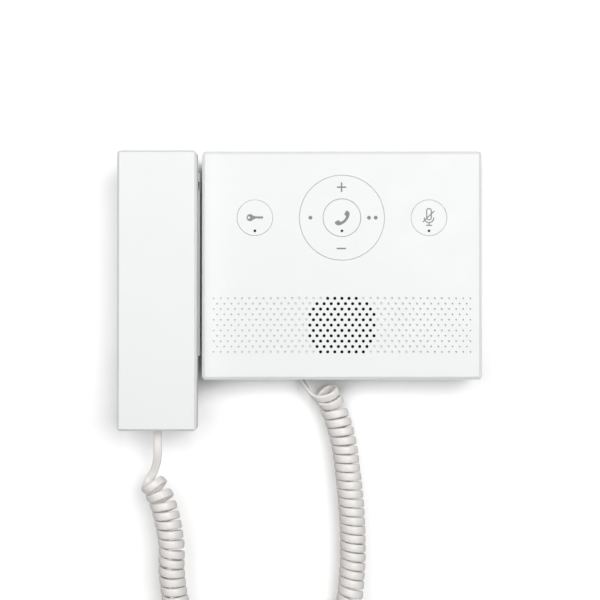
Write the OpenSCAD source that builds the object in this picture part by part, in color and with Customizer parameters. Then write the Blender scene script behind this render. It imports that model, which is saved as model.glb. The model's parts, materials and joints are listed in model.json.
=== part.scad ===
// Wall intercom station with a lift-off handset and a curly cord.
// X runs to the right, Z up, and the wall is the plane y = 0. The front looks along -Y,
// so a depth d below is a distance from the wall and lies at y = -d.

/* [Base] */
// Width of the base's front cover
base_w = 175; // [165:1:190]
// Height of the base's front cover
base_h = 143; // [138:1:155]
// Depth from the wall to the front face
base_d = 32; // [31.5:0.5:36]
// Thickness of the front panel
panel_t = 2.2; // [1.8:0.1:2.6]
// Thickness of the cover's side walls
cover_wall = 2.2; // [1.8:0.1:2.6]
// Radius of the outline's corners
corner_r = 2.6; // [1.5:0.1:4]
// Width of the bevel round the face
bevel_w = 1.9; // [1:0.1:2.4]
// Depth of the bevel round the face
bevel_d = 1.1; // [0.8:0.1:3]
// Depth of the seam between the front cover and the rear housing
seam_d = 13; // [12.5:0.1:14]
// How far the rear housing stands in from the front cover
seam_step = 2; // [1.5:0.1:2.5]
// Wall thickness of the rear housing
housing_t = 2; // [1.6:0.1:2.4]

/* [Wall plate] */
// Width of the wall plate
plate_w = 118; // [112:1:124]
// Height of the wall plate
plate_h = 92; // [88:1:100]
// Thickness of the wall plate
plate_t = 2; // [1.5:0.1:2.5]
// Distance between the two box screws
box_pitch = 60.3; // [58:0.1:62]
// Width of the pattern of four plug screws
plug_pitch_x = 100; // [96:1:104]
// Height of the pattern of four plug screws
plug_pitch_z = 74; // [70:1:76]
// Diameter of the wall plate's screw holes
plate_hole_d = 4.2; // [3.6:0.1:4.6]
// Width of the cable window
window_w = 42; // [38:1:46]
// Height of the cable window
window_h = 40; // [36:1:44]
// Width of the hanging tabs
tab_w = 9; // [7:0.5:11]

/* [Buttons] */
// Distance of the two small buttons from the base's sides
button_inset = 33.1; // [31:0.1:35]
// Height of the button row above the middle
button_z = 29.7; // [28:0.1:31]
// Diameter of the two small buttons
button_d = 22.3; // [20:0.1:23]
// Outer diameter of the rocker ring
rocker_d = 53.1; // [51:0.1:54]
// Diameter of the call button in the ring
call_d = 23.1; // [22:0.1:24]
// Gap round each button
groove = 0.3; // [0.25:0.01:0.4]
// Width of the bevel on the edges of the buttons and of their holes
edge_break = 0.25; // [0.15:0.05:0.3]
// Travel of a button
button_travel = 0.8; // [0.6:0.05:1]
// Diameter of a status light window
light_d = 1.6; // [1.4:0.1:1.8]
// Distance of the light window below a button's middle
light_drop = 8.2; // [7.8:0.1:8.3]

/* [Dot field] */
// Distance between dots along a row
dot_pitch_x = 4.45; // [4.2:0.01:4.5]
// Distance between rows
dot_pitch_z = 3.34; // [3.2:0.01:3.5]
// Dots in the longer rows
dot_columns = 37; // [33:2:37]
// Height of the middle row
dot_z = -37.4; // [-39:0.1:-36]
// Radius of the round patch of open holes
grille_r = 21.6; // [18:0.1:22]
// Drop of the patch below the middle row
grille_drop = 1.15; // [0.8:0.05:1.3]
// Diameter of the open holes
hole_d = 2; // [1.6:0.1:2.2]
// Diameter of the dimples next to the patch
dimple_d = 1.7; // [1.4:0.1:1.9]
// Diameter of the dimples at the ends of the rows
dimple_end_d = 1; // [0.8:0.1:1.3]
// Depth of the dimples
dimple_depth = 1.2; // [0.8:0.1:1.4]

/* [Speaker] */
// Diameter of the loudspeaker
speaker_d = 50; // [46:1:52]
// Diameter of the loudspeaker's magnet
magnet_d = 26; // [22:1:28]

/* [Cradle] */
// Height of the cradle
cradle_h = 115.4; // [108:0.2:118]
// Height of the cradle's middle above the base's middle
cradle_z = 0.9; // [0:0.1:2]
// Thickness of the cradle's side walls
cradle_wall = 1.2; // [1:0.1:1.6]
// Slot between the cradle and the base
cradle_slot = 1.9; // [1.6:0.1:2.4]
// Depth of the cradle's front rim
cradle_rim_d = 24; // [22.5:0.5:25]
// Gap between the handset and the cradle's walls
cradle_clear = 0.3; // [0.25:0.05:0.5]
// Angle of the hooks, and of the way the handset lifts
lift_angle = 30; // [25:1:35]
// Width of a hook
hook_w = 14; // [10:0.5:16]
// Thickness of a hook
hook_t = 5; // [4:0.5:6]

/* [Handset] */
// Width of the handset
handset_w = 49; // [47:0.5:52]
// Length of the handset
handset_l = 173; // [170:1:180]
// Height of the handset's middle
handset_z = -16; // [-18:0.5:-15]
// Depth of the handset's back face
handset_back_d = 18; // [17.8:0.1:18.5]
// Depth of the seam between the two shells
handset_seam_d = 32; // [31.5:0.5:33]
// Depth of the handset's front face
handset_face_d = 44; // [43:0.5:46]
// How far the rear shell stands in from the front shell
handset_step = 1.1; // [1:0.1:1.3]
// Wall thickness of both shells
shell_t = 2; // [1.6:0.1:2.4]
// Diameter of the earpiece
earpiece_d = 30; // [27:0.5:32]

/* [Cord] */
// Width of the flat cord
cord_w = 5; // [4.6:0.1:5]
// Thickness of the flat cord
cord_t = 2.4; // [2.2:0.1:2.6]
// Outer diameter of the curls
curl_d = 16.5; // [15:0.1:17]
// Number of curls
curl_turns = 59.25; // [54.25:1:59.25]

/* [Hidden] */
$fn = 48;

// Colours
abs_white = "#f4f5f4";
abs_grey = "#c9cccd";
board_green = "#2f6b45";
rubber_dark = "#3a3b3d";
rubber_pale = "#d9d9d4";
steel = "#b9bcc0";
smoke = "#1c1d1f";
clear_plastic = "#dfe6e8";
cord_grey = "#e2dfdb";

// Clearances
slack = 0.05;
fit_gap = 0.2;
seat_gap = 0.1;
past = 1;

// Base stack, as depths from the wall
panel_in_d = base_d - panel_t;
back_panel_d = plate_t + 0.3;
back_panel_in_d = back_panel_d + housing_t;
rim_d = 0.3;
board_t = 1.6;
board_front_d = base_d - 12;
board_rear_d = board_front_d - board_t;
mat_t = 1.2;
mat_front_d = board_front_d + mat_t;
dome_top_d = mat_front_d + button_travel + 2.4;
skirt_low_d = mat_front_d + 5.3;
cap_t = 1.8;
tongue = 2;
tongue_d = seam_d + tongue;
housing_w = base_w - 2 * seam_step;
housing_h = base_h - 2 * seam_step;
housing_in_w = housing_w - 2 * housing_t;
housing_in_h = housing_h - 2 * housing_t;
cover_in_w = base_w - 2 * cover_wall;
cover_in_h = base_h - 2 * cover_wall;

// Screws of the base
screw_r = 1.5;
screw_hole_r = 1.7;
screw_head_r = 2.9;
screw_head_t = 2;
small_screw_r = 1.1;
small_hole_r = 1.4;
small_head_r = 2.2;
small_head_t = 1.6;
boss_r = 4;
boss_inset = 5.5;
housing_screw_seat_d = 8;
housing_screw_tip_d = 24;
housing_bosses = [for (sx = [-1, 1], sz = [-1, 1])
  [sx * (housing_in_w / 2 - boss_inset), sz * (housing_in_h / 2 - boss_inset)]];
board_post_r = 3;
board_clear = 0.5;
board_side_gap = 9.3;
board_reach = 6.2;
board_post_inset = [4, 5];
board_w = cover_in_w - 2 * board_side_gap;
board_low_z = button_z - rocker_d / 2 - board_reach;
board_high_z = button_z + rocker_d / 2 + board_reach + 0.6;
board_posts_z = [board_low_z + board_post_inset[1], board_high_z - board_post_inset[1]];
board_posts = [for (sx = [-1, 1], z = board_posts_z) [sx * (board_w / 2 - board_post_inset[0]), z]];
board_screw_tip_d = board_front_d + 6;

// Wall plate tabs: a stem through the housing's back panel and a lip that points up
tab_stem_t = 1.5;
tab_lip_t = 1.5;
tab_lip_h = 5;
tab_lip_d = back_panel_in_d + 0.3;
tab_x = plate_w / 2 - 14;
tab_high_z = plate_h / 2 - 24;
tab_low_z = 20 - plate_h / 2;
tabs = [for (sx = [-1, 1], z = [tab_high_z, tab_low_z]) [sx * tab_x, z]];
tab_slot_drop = tab_lip_h + tab_stem_t + 0.6;
window_margin = [6, 16];
plug_screws = [for (sx = [-1, 1], sz = [-1, 1]) [sx * plug_pitch_x / 2, sz * plug_pitch_z / 2]];
box_screws = [for (sx = [-1, 1]) [sx * box_pitch / 2, 0]];

// Buttons
button_x = base_w / 2 - button_inset;
door_at = [-button_x, button_z];
mute_at = [button_x, button_z];
call_at = [0, button_z];
button_r = button_d / 2;
rocker_r = rocker_d / 2;
call_r = call_d / 2;
skirt_t = 1.5;
flange_out = 1.45;
flange_t = 2;
stem_r = 3;
dome_base_r = 4;
dome_top_r = 3.2;
dome_wall = 1.1;
light_r = light_d / 2;
pipe_r = 1.2;
pipe_rear_d = dome_top_d + 0.4;
led_size = [2, 1.2];
led_t = 0.8;
mat_margin = 2.45;
mat_w = 2 * button_x + button_d;
mat_low_z = button_z - rocker_d / 2 - mat_margin;
mat_high_z = button_z + rocker_d / 2 + mat_margin;

// Rocker: pedestal, gimbal ring and hub, one inside the other
pivot_d = base_d - 3.9;
pivot_pin_r = 0.6;
pivot_pin_l = 3;
pivot_bore_r = pivot_pin_r + slack;
gimbal_half_t = 0.9;
pedestal_bore_r = call_r + 0.55;
pedestal_lip_r = call_r + 0.2;
pedestal_r = pedestal_bore_r + 2;
pedestal_top_d = pivot_d + 1.3;
pedestal_lip_d = pedestal_top_d - 1.2;
pedestal_low_d = mat_front_d + fit_gap;
gimbal_in_r = pedestal_r + 0.5;
gimbal_out_r = gimbal_in_r + 1.8;
hub_in_r = gimbal_out_r + 0.5;
hub_out_r = hub_in_r + 2;
rocker_stem_at = 22.3;
rocker_stem_r = 2;
rocker_domes = [for (a = [0:90:270]) call_at + rocker_stem_at * [cos(a), sin(a)]];
pedestal_foot_r = 0.9;
pedestal_feet = [for (a = [45, 165, 285]) call_at + (pedestal_r - 1) * [cos(a), sin(a)]];

// Dot field
grille_at = [0, dot_z - grille_drop];
dots = [for (row = [-5:5]) let (count = dot_columns - 1 + abs(row) % 2)
  for (i = [0:count - 1]) [(i - (count - 1) / 2) * dot_pitch_x, dot_z + row * dot_pitch_z]];
open_dots = [for (p = dots) if (norm(p - grille_at) < grille_r) p];
blind_dots = [for (p = dots) if (norm(p - grille_at) >= grille_r) p];
row_end_x = (dot_columns - 1) / 2 * dot_pitch_x;
fade_start_x = grille_r + 2 * dot_pitch_x;
function dimple_r(x) = (dimple_d + (dimple_end_d - dimple_d)
  * max(0, (abs(x) - fade_start_x) / (row_end_x - fade_start_x))) / 2;

// Loudspeaker, from the panel back
cloth_t = 0.3;
gasket_t = 1.2;
speaker_rim_t = 1;
speaker_r = speaker_d / 2;
magnet_r = magnet_d / 2;
magnet_t = 4.5;
basket_t = 0.8;
cloth_d = panel_in_d - cloth_t;
gasket_d = cloth_d - gasket_t;
speaker_rim_d = gasket_d - speaker_rim_t;
basket_rear_d = speaker_rim_d - 8;
basket_in_r = speaker_r - 3.6;
coil_r = 6;
cone_r = basket_in_r - 0.4;
cone_t = 0.5;
cone_rear_d = basket_rear_d + 2.2;
speaker_posts = [for (a = [90, 210, 330]) grille_at + (speaker_r + 3.8) * [cos(a), sin(a)]];
speaker_post_r = 3;
speaker_screw_tip_d = base_d - 1;
washer_r = 4.6;
washer_t = 1.4;

// Microphone at the bottom edge
mic_x = 55;
mic_d = 22;
mic_r = 3;
mic_h = 4;
mic_floor = 1.5;
mic_boot_r = 5;
mic_boot_h = 6;
mic_rib_r = mic_boot_r + seat_gap;
mic_rib_t = 1.2;
mic_port_r = 0.6;
cover_floor_z = -cover_in_h / 2;

// Network socket on the back of the board, with its mouth down
socket_size = [16, 13.4, 18];
socket_mouth = [11.9, 6.8, 13];
socket_z = 6;
socket_back = 4;
socket_rear_d = board_rear_d - socket_size[1];

// Modular jack and plug of the cord, both ends alike
jack_size = [11.4, 8, 13.6];
plug_size = [7.6, 5.9, 11.6];
plug_play = 0.1;
base_jack_x = -25;
base_jack_d = 8.5;
housing_floor_z = -housing_in_h / 2;
housing_low_z = -housing_h / 2;

// Ear and mouth ends of the handset
end_inset = 26.5;
ear_z = handset_z + handset_l / 2 - end_inset;
mouth_z = handset_z - handset_l / 2 + end_inset;

// Cradle
cradle_right_x = -base_w / 2 - cradle_slot;
cradle_in_right_x = cradle_right_x - cradle_wall;
handset_rear_w = handset_w - 2 * handset_step;
handset_rear_l = handset_l - 2 * handset_step;
handset_x = cradle_in_right_x - cradle_clear - handset_rear_w / 2;
cradle_in_w = handset_rear_w + 2 * cradle_clear;
cradle_w = cradle_in_w + 2 * cradle_wall;
cradle_floor_d = handset_back_d - 1.5;
cradle_floor_t = 2.5;
cradle_under_d = cradle_floor_d - cradle_floor_t;
cradle_rear_d = 1;
cradle_low_z = cradle_z - cradle_h / 2;
web_d = seam_d - 0.8;
web_t = 2.5;
housing_left_x = -housing_w / 2;
pad_d = handset_back_d - slack;
pad_size = [24, 3];
pad_inset = 5;
pads = [for (s = [-1, 1]) cradle_z + s * (cradle_h / 2 - pad_inset)];
notch_inset = 8.2;
notch_z = cradle_z + cradle_h / 2 - notch_inset;
notch_h = 5;
notch_d = 5;
hook_ear_gap = 27.1;
hook_mouth_gap = 42.9;
hook_at_z = [ear_z - hook_ear_gap, mouth_z + hook_mouth_gap];
hook_reach = 9.8;
hook_root = 1.4;
hook_clear = 0.3;
cradle_screw_out = 36;
cradle_screws_z = [cradle_z + cradle_screw_out, cradle_z - cradle_screw_out];
cradle_screw_d = back_panel_in_d + screw_head_r + 0.4;
cradle_pad_h = 14;
cradle_screw_reach = 4.4;

// Hook switch under the cradle's floor
plunger_inset = [6, 8];
plunger_x = handset_x + handset_rear_w / 2 - plunger_inset[0];
plunger_z = cradle_z + cradle_h / 2 - plunger_inset[1];
plunger_r = 1.6;
plunger_collar_r = 2.8;
plunger_collar_t = 1;
plunger_travel = 3;
plunger_tip_d = handset_back_d - slack;
plunger_collar_d = cradle_under_d - plunger_travel - plunger_collar_t - seat_gap;
switch_size = [6.4, 16];
switch_z = plunger_z - 4;
switch_rear_d = 2;
switch_top_d = plunger_collar_d - 3.6;
switch_bore_r = plunger_r + fit_gap;
plunger_tail_d = switch_top_d - plunger_travel - 0.3;
switch_rib_t = 1.5;
switch_ribs_z = [for (s = [-1, 1]) switch_z + s * ((switch_size[1] + switch_rib_t) / 2 + seat_gap)];
spring_r = 2.25;
spring_wire_r = 0.25;
spring_turns = 4;

// Handset
handset_low_z = handset_z - handset_l / 2;
handset_rear_low_z = handset_z - handset_rear_l / 2;
handset_bevel_w = 1.4;
handset_bevel_d = 1.3;
back_bevel = 2;
shell_front_in_d = handset_face_d - shell_t;
shell_rear_in_d = handset_back_d + shell_t;
lip_h = 1.5;
lip_t = 1.2;
shell_in = [handset_rear_w - 2 * shell_t, handset_rear_l - 2 * shell_t];
lip_out = shell_in + 2 * lip_t * [1, 1];
earpiece_r = earpiece_d / 2;
ear_gasket_t = 1;
ear_rib_share = 0.8;
ear_can_inset = 5;
ear_rim = 3;
earpiece_t = 7;
ear_low_d = shell_rear_in_d + ear_gasket_t;
ear_top_d = ear_low_d + earpiece_t;
ear_hole_r = 1;
ear_holes = concat([[0, 0]], [for (a = [0:60:300]) 4 * [cos(a), sin(a)]],
  [for (a = [15:30:345]) 8 * [cos(a), sin(a)]]);
mouth_boot_r = 6.5;
mouth_boot_h = 8;
mouth_top_d = shell_rear_in_d + mouth_boot_h;
mouth_mic_low_d = shell_rear_in_d + mic_floor;
mouth_mic_r = 4.7;
mouth_mic_h = 5;
mouth_holes = [[-3, 0], [0, 0], [3, 0]];
mouth_hole_r = 0.8;
handset_screw_inset = 6.1;
handset_screw_gap = 17;
handset_screws_z = [handset_z + handset_l / 2 - handset_screw_inset, mouth_z + handset_screw_gap];
handset_seat_d = handset_back_d + 4;
handset_post_d = handset_seam_d + 3;
handset_screw_tip_d = handset_post_d + 5;
rib_t = 1.6;
weight_t = 5;
weight_gap = 1;
weight_high_z = ear_z - earpiece_d * ear_rib_share / 2 - weight_gap;
weight_low_z = handset_screws_z[1] + boss_r + 3 * boss_r;
weight_size = [24, weight_high_z - weight_low_z];
weight_z = (weight_high_z + weight_low_z) / 2;
handset_jack_x = handset_x - 1.4;
handset_jack_d = shell_rear_in_d + jack_size[1] / 2 + 2.4;
handset_floor_z = handset_rear_low_z + shell_t;
handset_board_t = 1.2;
handset_board_d = handset_jack_d + jack_size[1] / 2;
handset_board_size = [26, 18];

// Cord route as x, depth and height: straight ends and the axis of the curls, from each end's exit
handset_exit = [handset_jack_x, handset_jack_d, handset_low_z];
base_exit = [base_jack_x, base_jack_d, housing_low_z - 0.5];
tail_a_route = [[0, 0, 0], [0, 0, -6], [0, -0.3, -12], [-0.2, -1.6, -18], [-1.4, -4.2, -23.4],
  [-3.4, -7, -28], [-5.8, -8.6, -32.4], [-7.7, -7.4, -36]];
curl_route_a = [[-3.7, -2.4, -34], [1.4, -2.4, -43], [4.8, -2.4, -53], [7.2, -2.4, -64],
  [8.7, -2.9, -76.5], [8.7, -3.4, -92.5], [12.7, -4.4, -114.5], [23.7, -5.9, -134.5],
  [42.7, -7.4, -148.5], [65.7, -8.9, -153.5]];
curl_route_b = [[-2, 7.5, -181], [17, 6.5, -167], [29, 6, -147], [32, 5.5, -125], [32.5, 5.5, -105],
  [31.5, 5.5, -83], [29.5, 5.5, -63], [26.5, 5.5, -42], [22, 5.5, -26], [15.6, 5.5, -10.4]];
tail_b_route = [[11.3, 11.2, -14.5], [7.4, 8.4, -13], [4.2, 4.6, -9.5], [1.9, 1.6, -6.2], [0.5, 0.3, -3.6],
  [0, 0, -2], [0, 0, 0]];
// Directions in which the flat cord is wide on its way into the base: it turns on edge, then flat again
tail_b_wide = [[-0.1, 0.5, 0.8], [0.15, 0.8, 0.5], [0.45, 0.85, 0.4], [0.8, 0.6, 0.2], [1, 0.2, 0],
  [1, 0, 0], [1, 0, 0]];

// Vector helpers
function unit(v) = v / norm(v);
function to_world(p) = [p[0], -p[1], p[2]];
function square_to(v, t) = unit(v - (v * t) * t);
function sum_to(list) = [for (i = 0, s = 0; i < len(list); s = s + list[i], i = i + 1) s];

// Smooth curve through the axis points
axis_steps = 16;
function spline_end(list, i) = list[max(0, min(len(list) - 1, i))];
function spline(list, i, u) =
  let (a = spline_end(list, i - 1), b = spline_end(list, i), c = spline_end(list, i + 1),
    d = spline_end(list, i + 2))
  0.5 * (2 * b + (c - a) * u + (2 * a - 5 * b + 4 * c - d) * u * u + (3 * b - a - 3 * c + d) * u * u * u);
axis_world = concat([for (p = curl_route_a) to_world(handset_exit + p)],
  [for (p = curl_route_b) to_world(base_exit + p)]);
axis_line = concat(
  [for (i = [0:len(axis_world) - 2], k = [0:axis_steps - 1]) spline(axis_world, i, k / axis_steps)],
  [axis_world[len(axis_world) - 1]]);
axis_count = len(axis_line);

// The end curls lean over to the straight ends that pull on them
lean_a = [0.28, 0, 0.2];
lean_b = [-0.04, -0.5, -0.1];
function lean_at(i) = lean_a * pow(max(0, 1 - i / 32), 2)
  + lean_b * max(0, min(1, (15 - axis_count + i) / 8));
axis_dir = [for (i = [0:axis_count - 1])
  unit(unit(axis_line[min(axis_count - 1, i + 1)] - axis_line[max(0, i - 1)]) + lean_at(i))];

// Curls stand wider apart where the axis bends, so that they keep clear on the inside of the bend
curl_r = (curl_d - cord_t) / 2;
curl_share = [for (i = [0:axis_count - 2])
  let (step = norm(axis_line[i + 1] - axis_line[i]), bend = norm(axis_dir[i + 1] - axis_dir[i]))
  step - curl_r * bend];
curl_sum = sum_to(concat(curl_share, [0]));
curl_table = [for (i = [0:axis_count - 1]) [curl_sum[i] / curl_sum[axis_count - 1] * curl_turns, i]];
curl_rings = 8;
curl_count = curl_turns * curl_rings;
function axis_at(i) = let (k = min(axis_count - 2, floor(i)))
  axis_line[k] + (axis_line[k + 1] - axis_line[k]) * (i - k);
function dir_at(i) = axis_dir[min(axis_count - 1, round(i))];
curls = [for (n = [0:curl_count])
  let (i = lookup(n / curl_rings, curl_table), t = dir_at(i), front = square_to([0, -1, 0], t),
    out = cross(t, front), a = 360 * n / curl_rings)
  [axis_at(i) + curl_r * (cos(a) * out + sin(a) * front), t]];
curl_first = curls[0];

// The whole cord: points with the direction in which the flat cord is wide
across = [1, 0, 0];
tail_a = [for (i = [0:len(tail_a_route) - 1]) let (s = pow(i / len(tail_a_route), 2))
  [to_world(handset_exit + tail_a_route[i]), unit(across * (1 - s) + curl_first[1] * s)]];
tail_b = [for (i = [0:len(tail_b_route) - 1])
  [to_world(base_exit + tail_b_route[i]), unit(to_world(tail_b_wide[i]))]];
cord_line = concat(tail_a, curls, tail_b);

// Flat six-sided section: across the width and through the thickness
cord_shoulder = cord_w / 2 - 0.9;
cord_section = [[cord_w / 2, 0], [cord_shoulder, cord_t / 2], [-cord_shoulder, cord_t / 2],
  [-cord_w / 2, 0], [-cord_shoulder, -cord_t / 2], [cord_shoulder, -cord_t / 2]];
function wire_section(r) = [for (a = [0:60:300]) r * [cos(a), sin(a)]];

// Rings of points along a line of [point, wide direction]
function sweep_rings(line, section) = [for (i = [0:len(line) - 1])
  let (t = unit(line[min(len(line) - 1, i + 1)][0] - line[max(0, i - 1)][0]),
    w = square_to(line[i][1], t), n = cross(w, t))
  [for (q = section) line[i][0] + q[0] * w + q[1] * n]];
function sweep_faces(rings, sides) = concat(
  [for (k = [1:sides - 2]) [0, k, k + 1]],
  [for (i = [0:rings - 2], k = [0:sides - 1])
    let (a = i * sides + k, b = i * sides + (k + 1) % sides) [a, a + sides, b]],
  [for (i = [0:rings - 2], k = [0:sides - 1])
    let (a = i * sides + k, b = i * sides + (k + 1) % sides) [b, a + sides, b + sides]],
  [for (k = [1:sides - 2]) let (e = (rings - 1) * sides) [e, e + k + 1, e + k]]);

// Distance from a point to a straight edge
function edge_gap(p, a, b) = let (e = b - a, s = max(0, min(1, (p - a) * e / (e * e))))
  norm(p - a - s * e);

// Least distance from each ring's points to the edges of the turn after it
function turn_gaps(rings, per_turn) = [
  for (i = [0:len(rings) - per_turn - 3], j = [i + per_turn - 2:i + per_turn + 1])
  min([for (p = rings[i], k = [0:len(rings[j]) - 1]) edge_gap(p, rings[j][k], rings[j + 1][k])])];

// Solid between two depths over a drawing in X and Z
module prism(d0, d1) {
  rotate([90, 0, 0]) translate([0, 0, d0]) linear_extrude(d1 - d0) children();
}

// Round bar along the depth
module pole(at, d0, d1, r) {
  translate([at[0], 0, at[1]]) prism(d0, d1) circle(r = r);
}

// Round bar along the depth that changes its radius from r0 to r1
module taper(at, d0, d1, r0, r1) {
  translate([at[0], -d0, at[1]]) rotate([90, 0, 0]) cylinder(h = d1 - d0, r1 = r0, r2 = r1);
}

// Tube along the depth
module tube(at, d0, d1, r_in, r_out) {
  difference() {
    pole(at, d0, d1, r_out);
    pole(at, d0 - past, d1 + past, r_in);
  }
}

// Solid of revolution about an axis along the depth, from a profile of radius and depth
module turned(at) {
  translate([at[0], 0, at[1]]) rotate([90, 0, 0]) rotate_extrude() children();
}

module round_rect(w, h, r) {
  square([w - 2 * r, h], center = true);
  square([w, h - 2 * r], center = true);
  for (sx = [-1, 1], sz = [-1, 1])
    translate([sx * (w / 2 - r), sz * (h / 2 - r)]) circle(r = r);
}

// Block with round upright corners and mitred bevels round its end at d1
module bevelled_block(w, h, d0, d1, r, bw, bd) {
  way = sign(d1 - d0);
  shoulder = d1 - way * bd;
  intersection() {
    prism(min(d0, d1), max(d0, d1)) round_rect(w, h, r);
    rotate([90, 0, 90]) linear_extrude(w + past, center = true)
      polygon([[-d0, -h / 2], [-shoulder, -h / 2], [-d1, bw - h / 2], [-d1, h / 2 - bw],
        [-shoulder, h / 2], [-d0, h / 2]]);
    linear_extrude(h + past, center = true)
      polygon([[-w / 2, -d0], [-w / 2, -shoulder], [bw - w / 2, -d1], [w / 2 - bw, -d1],
        [w / 2, -shoulder], [w / 2, -d0]]);
  }
}

// Screw along the depth with its head at the wall side
module screw(at, head_d, tip_d, r, head_r, head_t) {
  pole(at, head_d, head_d + head_t, head_r);
  pole(at, head_d + head_t - past / 2, tip_d, r);
}

// Front: graded dot field, button holes and the posts behind them
module front_cover() {
  color(abs_white) difference() {
    union() {
      difference() {
        bevelled_block(base_w, base_h, seam_d, base_d, corner_r, bevel_w, bevel_d);
        prism(seam_d - past, panel_in_d) square([cover_in_w, cover_in_h], center = true);
      }
      for (p = housing_bosses) pole(p, tongue_d, panel_in_d + past, boss_r);
      for (p = board_posts) pole(p, board_front_d, panel_in_d + past, board_post_r);
      for (p = speaker_posts) pole(p, speaker_rim_d, panel_in_d + past, speaker_post_r);
      translate([mic_x, -mic_d, cover_floor_z - past])
        cylinder(h = mic_boot_h / 2 + past, r = mic_rib_r + mic_rib_t);
    }
    for (p = [door_at, mute_at]) key_hole(p, button_r + groove);
    key_hole(call_at, rocker_r + groove);
    for (p = housing_bosses) pole(p, tongue_d - past, housing_screw_tip_d + fit_gap, screw_r + slack);
    for (p = board_posts) pole(p, board_front_d - past, board_screw_tip_d + fit_gap, small_screw_r + slack);
    for (p = speaker_posts) pole(p, speaker_rim_d - past, speaker_screw_tip_d, small_screw_r + slack);
    translate([mic_x, -mic_d, cover_floor_z]) cylinder(h = mic_boot_h, r = mic_rib_r);
    translate([mic_x, -mic_d, cover_floor_z - cover_wall - past])
      cylinder(h = cover_wall + 2 * past, r = mic_port_r);
    prism(panel_in_d - past, base_d + past) for (p = open_dots) translate(p) circle(d = hole_d);
    prism(base_d - dimple_depth, base_d + past)
      for (p = blind_dots) translate(p) circle(r = dimple_r(p[0]));
  }
}

// Hole for a key, with its front edge broken
module key_hole(at, r) {
  pole(at, panel_in_d - past, base_d + past, r);
  taper(at, base_d - edge_break, base_d + past, r, r + edge_break + past);
}

// Back: a shallow tray with the screw bosses, the tab slots and the cable window
module rear_housing() {
  color(abs_white) difference() {
    union() {
      difference() {
        union() {
          prism(rim_d, seam_d - fit_gap) round_rect(housing_w, housing_h, corner_r);
          prism(seam_d - past, tongue_d)
            square([cover_in_w - 2 * fit_gap, cover_in_h - 2 * fit_gap], center = true);
        }
        prism(back_panel_in_d, tongue_d + past) square([housing_in_w, housing_in_h], center = true);
        prism(rim_d - past, back_panel_d) square([housing_in_w, housing_in_h], center = true);
      }
      for (p = housing_bosses) pole(p, back_panel_d, tongue_d, boss_r);
    }
    for (p = housing_bosses) {
      pole(p, back_panel_d - past, tongue_d + past, screw_hole_r);
      pole(p, back_panel_d - past, housing_screw_seat_d, screw_head_r + fit_gap);
    }
    for (t = tabs) translate([t[0], 0, t[1]]) prism(back_panel_d - past, back_panel_in_d + past)
      translate([-tab_w / 2 - 0.3, -tab_slot_drop]) square([tab_w + 0.6, tab_slot_drop + slack]);
    prism(back_panel_d - past, back_panel_in_d + past)
      square([window_w, window_h] + window_margin, center = true);
    plug_opening(base_jack_x, base_jack_d, housing_low_z, housing_t);
    for (z = cradle_screws_z) translate([housing_left_x - past, -cradle_screw_d, z])
      rotate([0, 90, 0]) cylinder(h = housing_t + 2 * past, r = screw_hole_r);
  }
}

// Plate on the wall: two box screws, four plug screws, a cable window and four hanging tabs
module wall_plate() {
  color(steel) union() {
    difference() {
      prism(0, plate_t) round_rect(plate_w, plate_h, 5);
      for (p = concat(box_screws, plug_screws)) pole(p, -past, plate_t + past, plate_hole_d / 2);
      prism(-past, plate_t + past) square([window_w, window_h], center = true);
    }
    for (t = tabs) translate([t[0], 0, t[1]]) {
      prism(plate_t - past / 2, tab_lip_d + tab_lip_t)
        translate([-tab_w / 2, -tab_stem_t]) square([tab_w, tab_stem_t]);
      prism(tab_lip_d, tab_lip_d + tab_lip_t)
        translate([-tab_w / 2, -tab_stem_t]) square([tab_w, tab_stem_t + tab_lip_h]);
    }
  }
}

module housing_screws() {
  color(steel) for (p = housing_bosses)
    screw(p, housing_screw_seat_d - screw_head_t, housing_screw_tip_d, screw_r, screw_head_r, screw_head_t);
}

module main_board() {
  color(board_green) difference() {
    translate([0, 0, (board_low_z + board_high_z) / 2]) prism(board_rear_d, board_front_d)
      square([board_w, board_high_z - board_low_z], center = true);
    for (p = board_posts) pole(p, board_rear_d - past, board_front_d + past, small_hole_r);
    for (p = housing_bosses) pole(p, board_rear_d - past, board_front_d + past, boss_r + board_clear);
  }
}

module board_screws() {
  color(steel) for (p = board_posts)
    screw(p, board_rear_d - small_head_t, board_screw_tip_d, small_screw_r, small_head_r, small_head_t);
}

// Silicone mat with a hollow dome under each key
module keypad_mat() {
  domes = concat([door_at, mute_at, call_at], rocker_domes);
  color(rubber_pale) difference() {
    union() {
      translate([0, 0, (mat_low_z + mat_high_z) / 2]) prism(board_front_d, mat_front_d)
        square([mat_w, mat_high_z - mat_low_z], center = true);
      for (p = domes) turned(p)
        polygon([[0, mat_front_d - 0.5], [dome_base_r, mat_front_d - 0.5], [dome_base_r, mat_front_d],
          [dome_top_r, dome_top_d], [0, dome_top_d]]);
    }
    for (p = domes) turned(p)
      polygon([[0, board_front_d - past], [dome_base_r - dome_wall, board_front_d - past],
        [dome_base_r - dome_wall, mat_front_d], [dome_top_r - dome_wall, dome_top_d - dome_wall],
        [0, dome_top_d - dome_wall]]);
    for (p = [door_at, mute_at, call_at])
      pole(p - [0, light_drop], board_front_d - past, mat_front_d + past, pipe_r + 0.5);
    for (p = pedestal_feet) pole(p, board_front_d - past, mat_front_d + past, pedestal_foot_r + 0.3);
  }
}

module status_leds() {
  color("gold") for (p = [door_at, mute_at, call_at]) translate([p[0], 0, p[1] - light_drop])
    prism(board_front_d, board_front_d + led_t) square(led_size, center = true);
}

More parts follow.
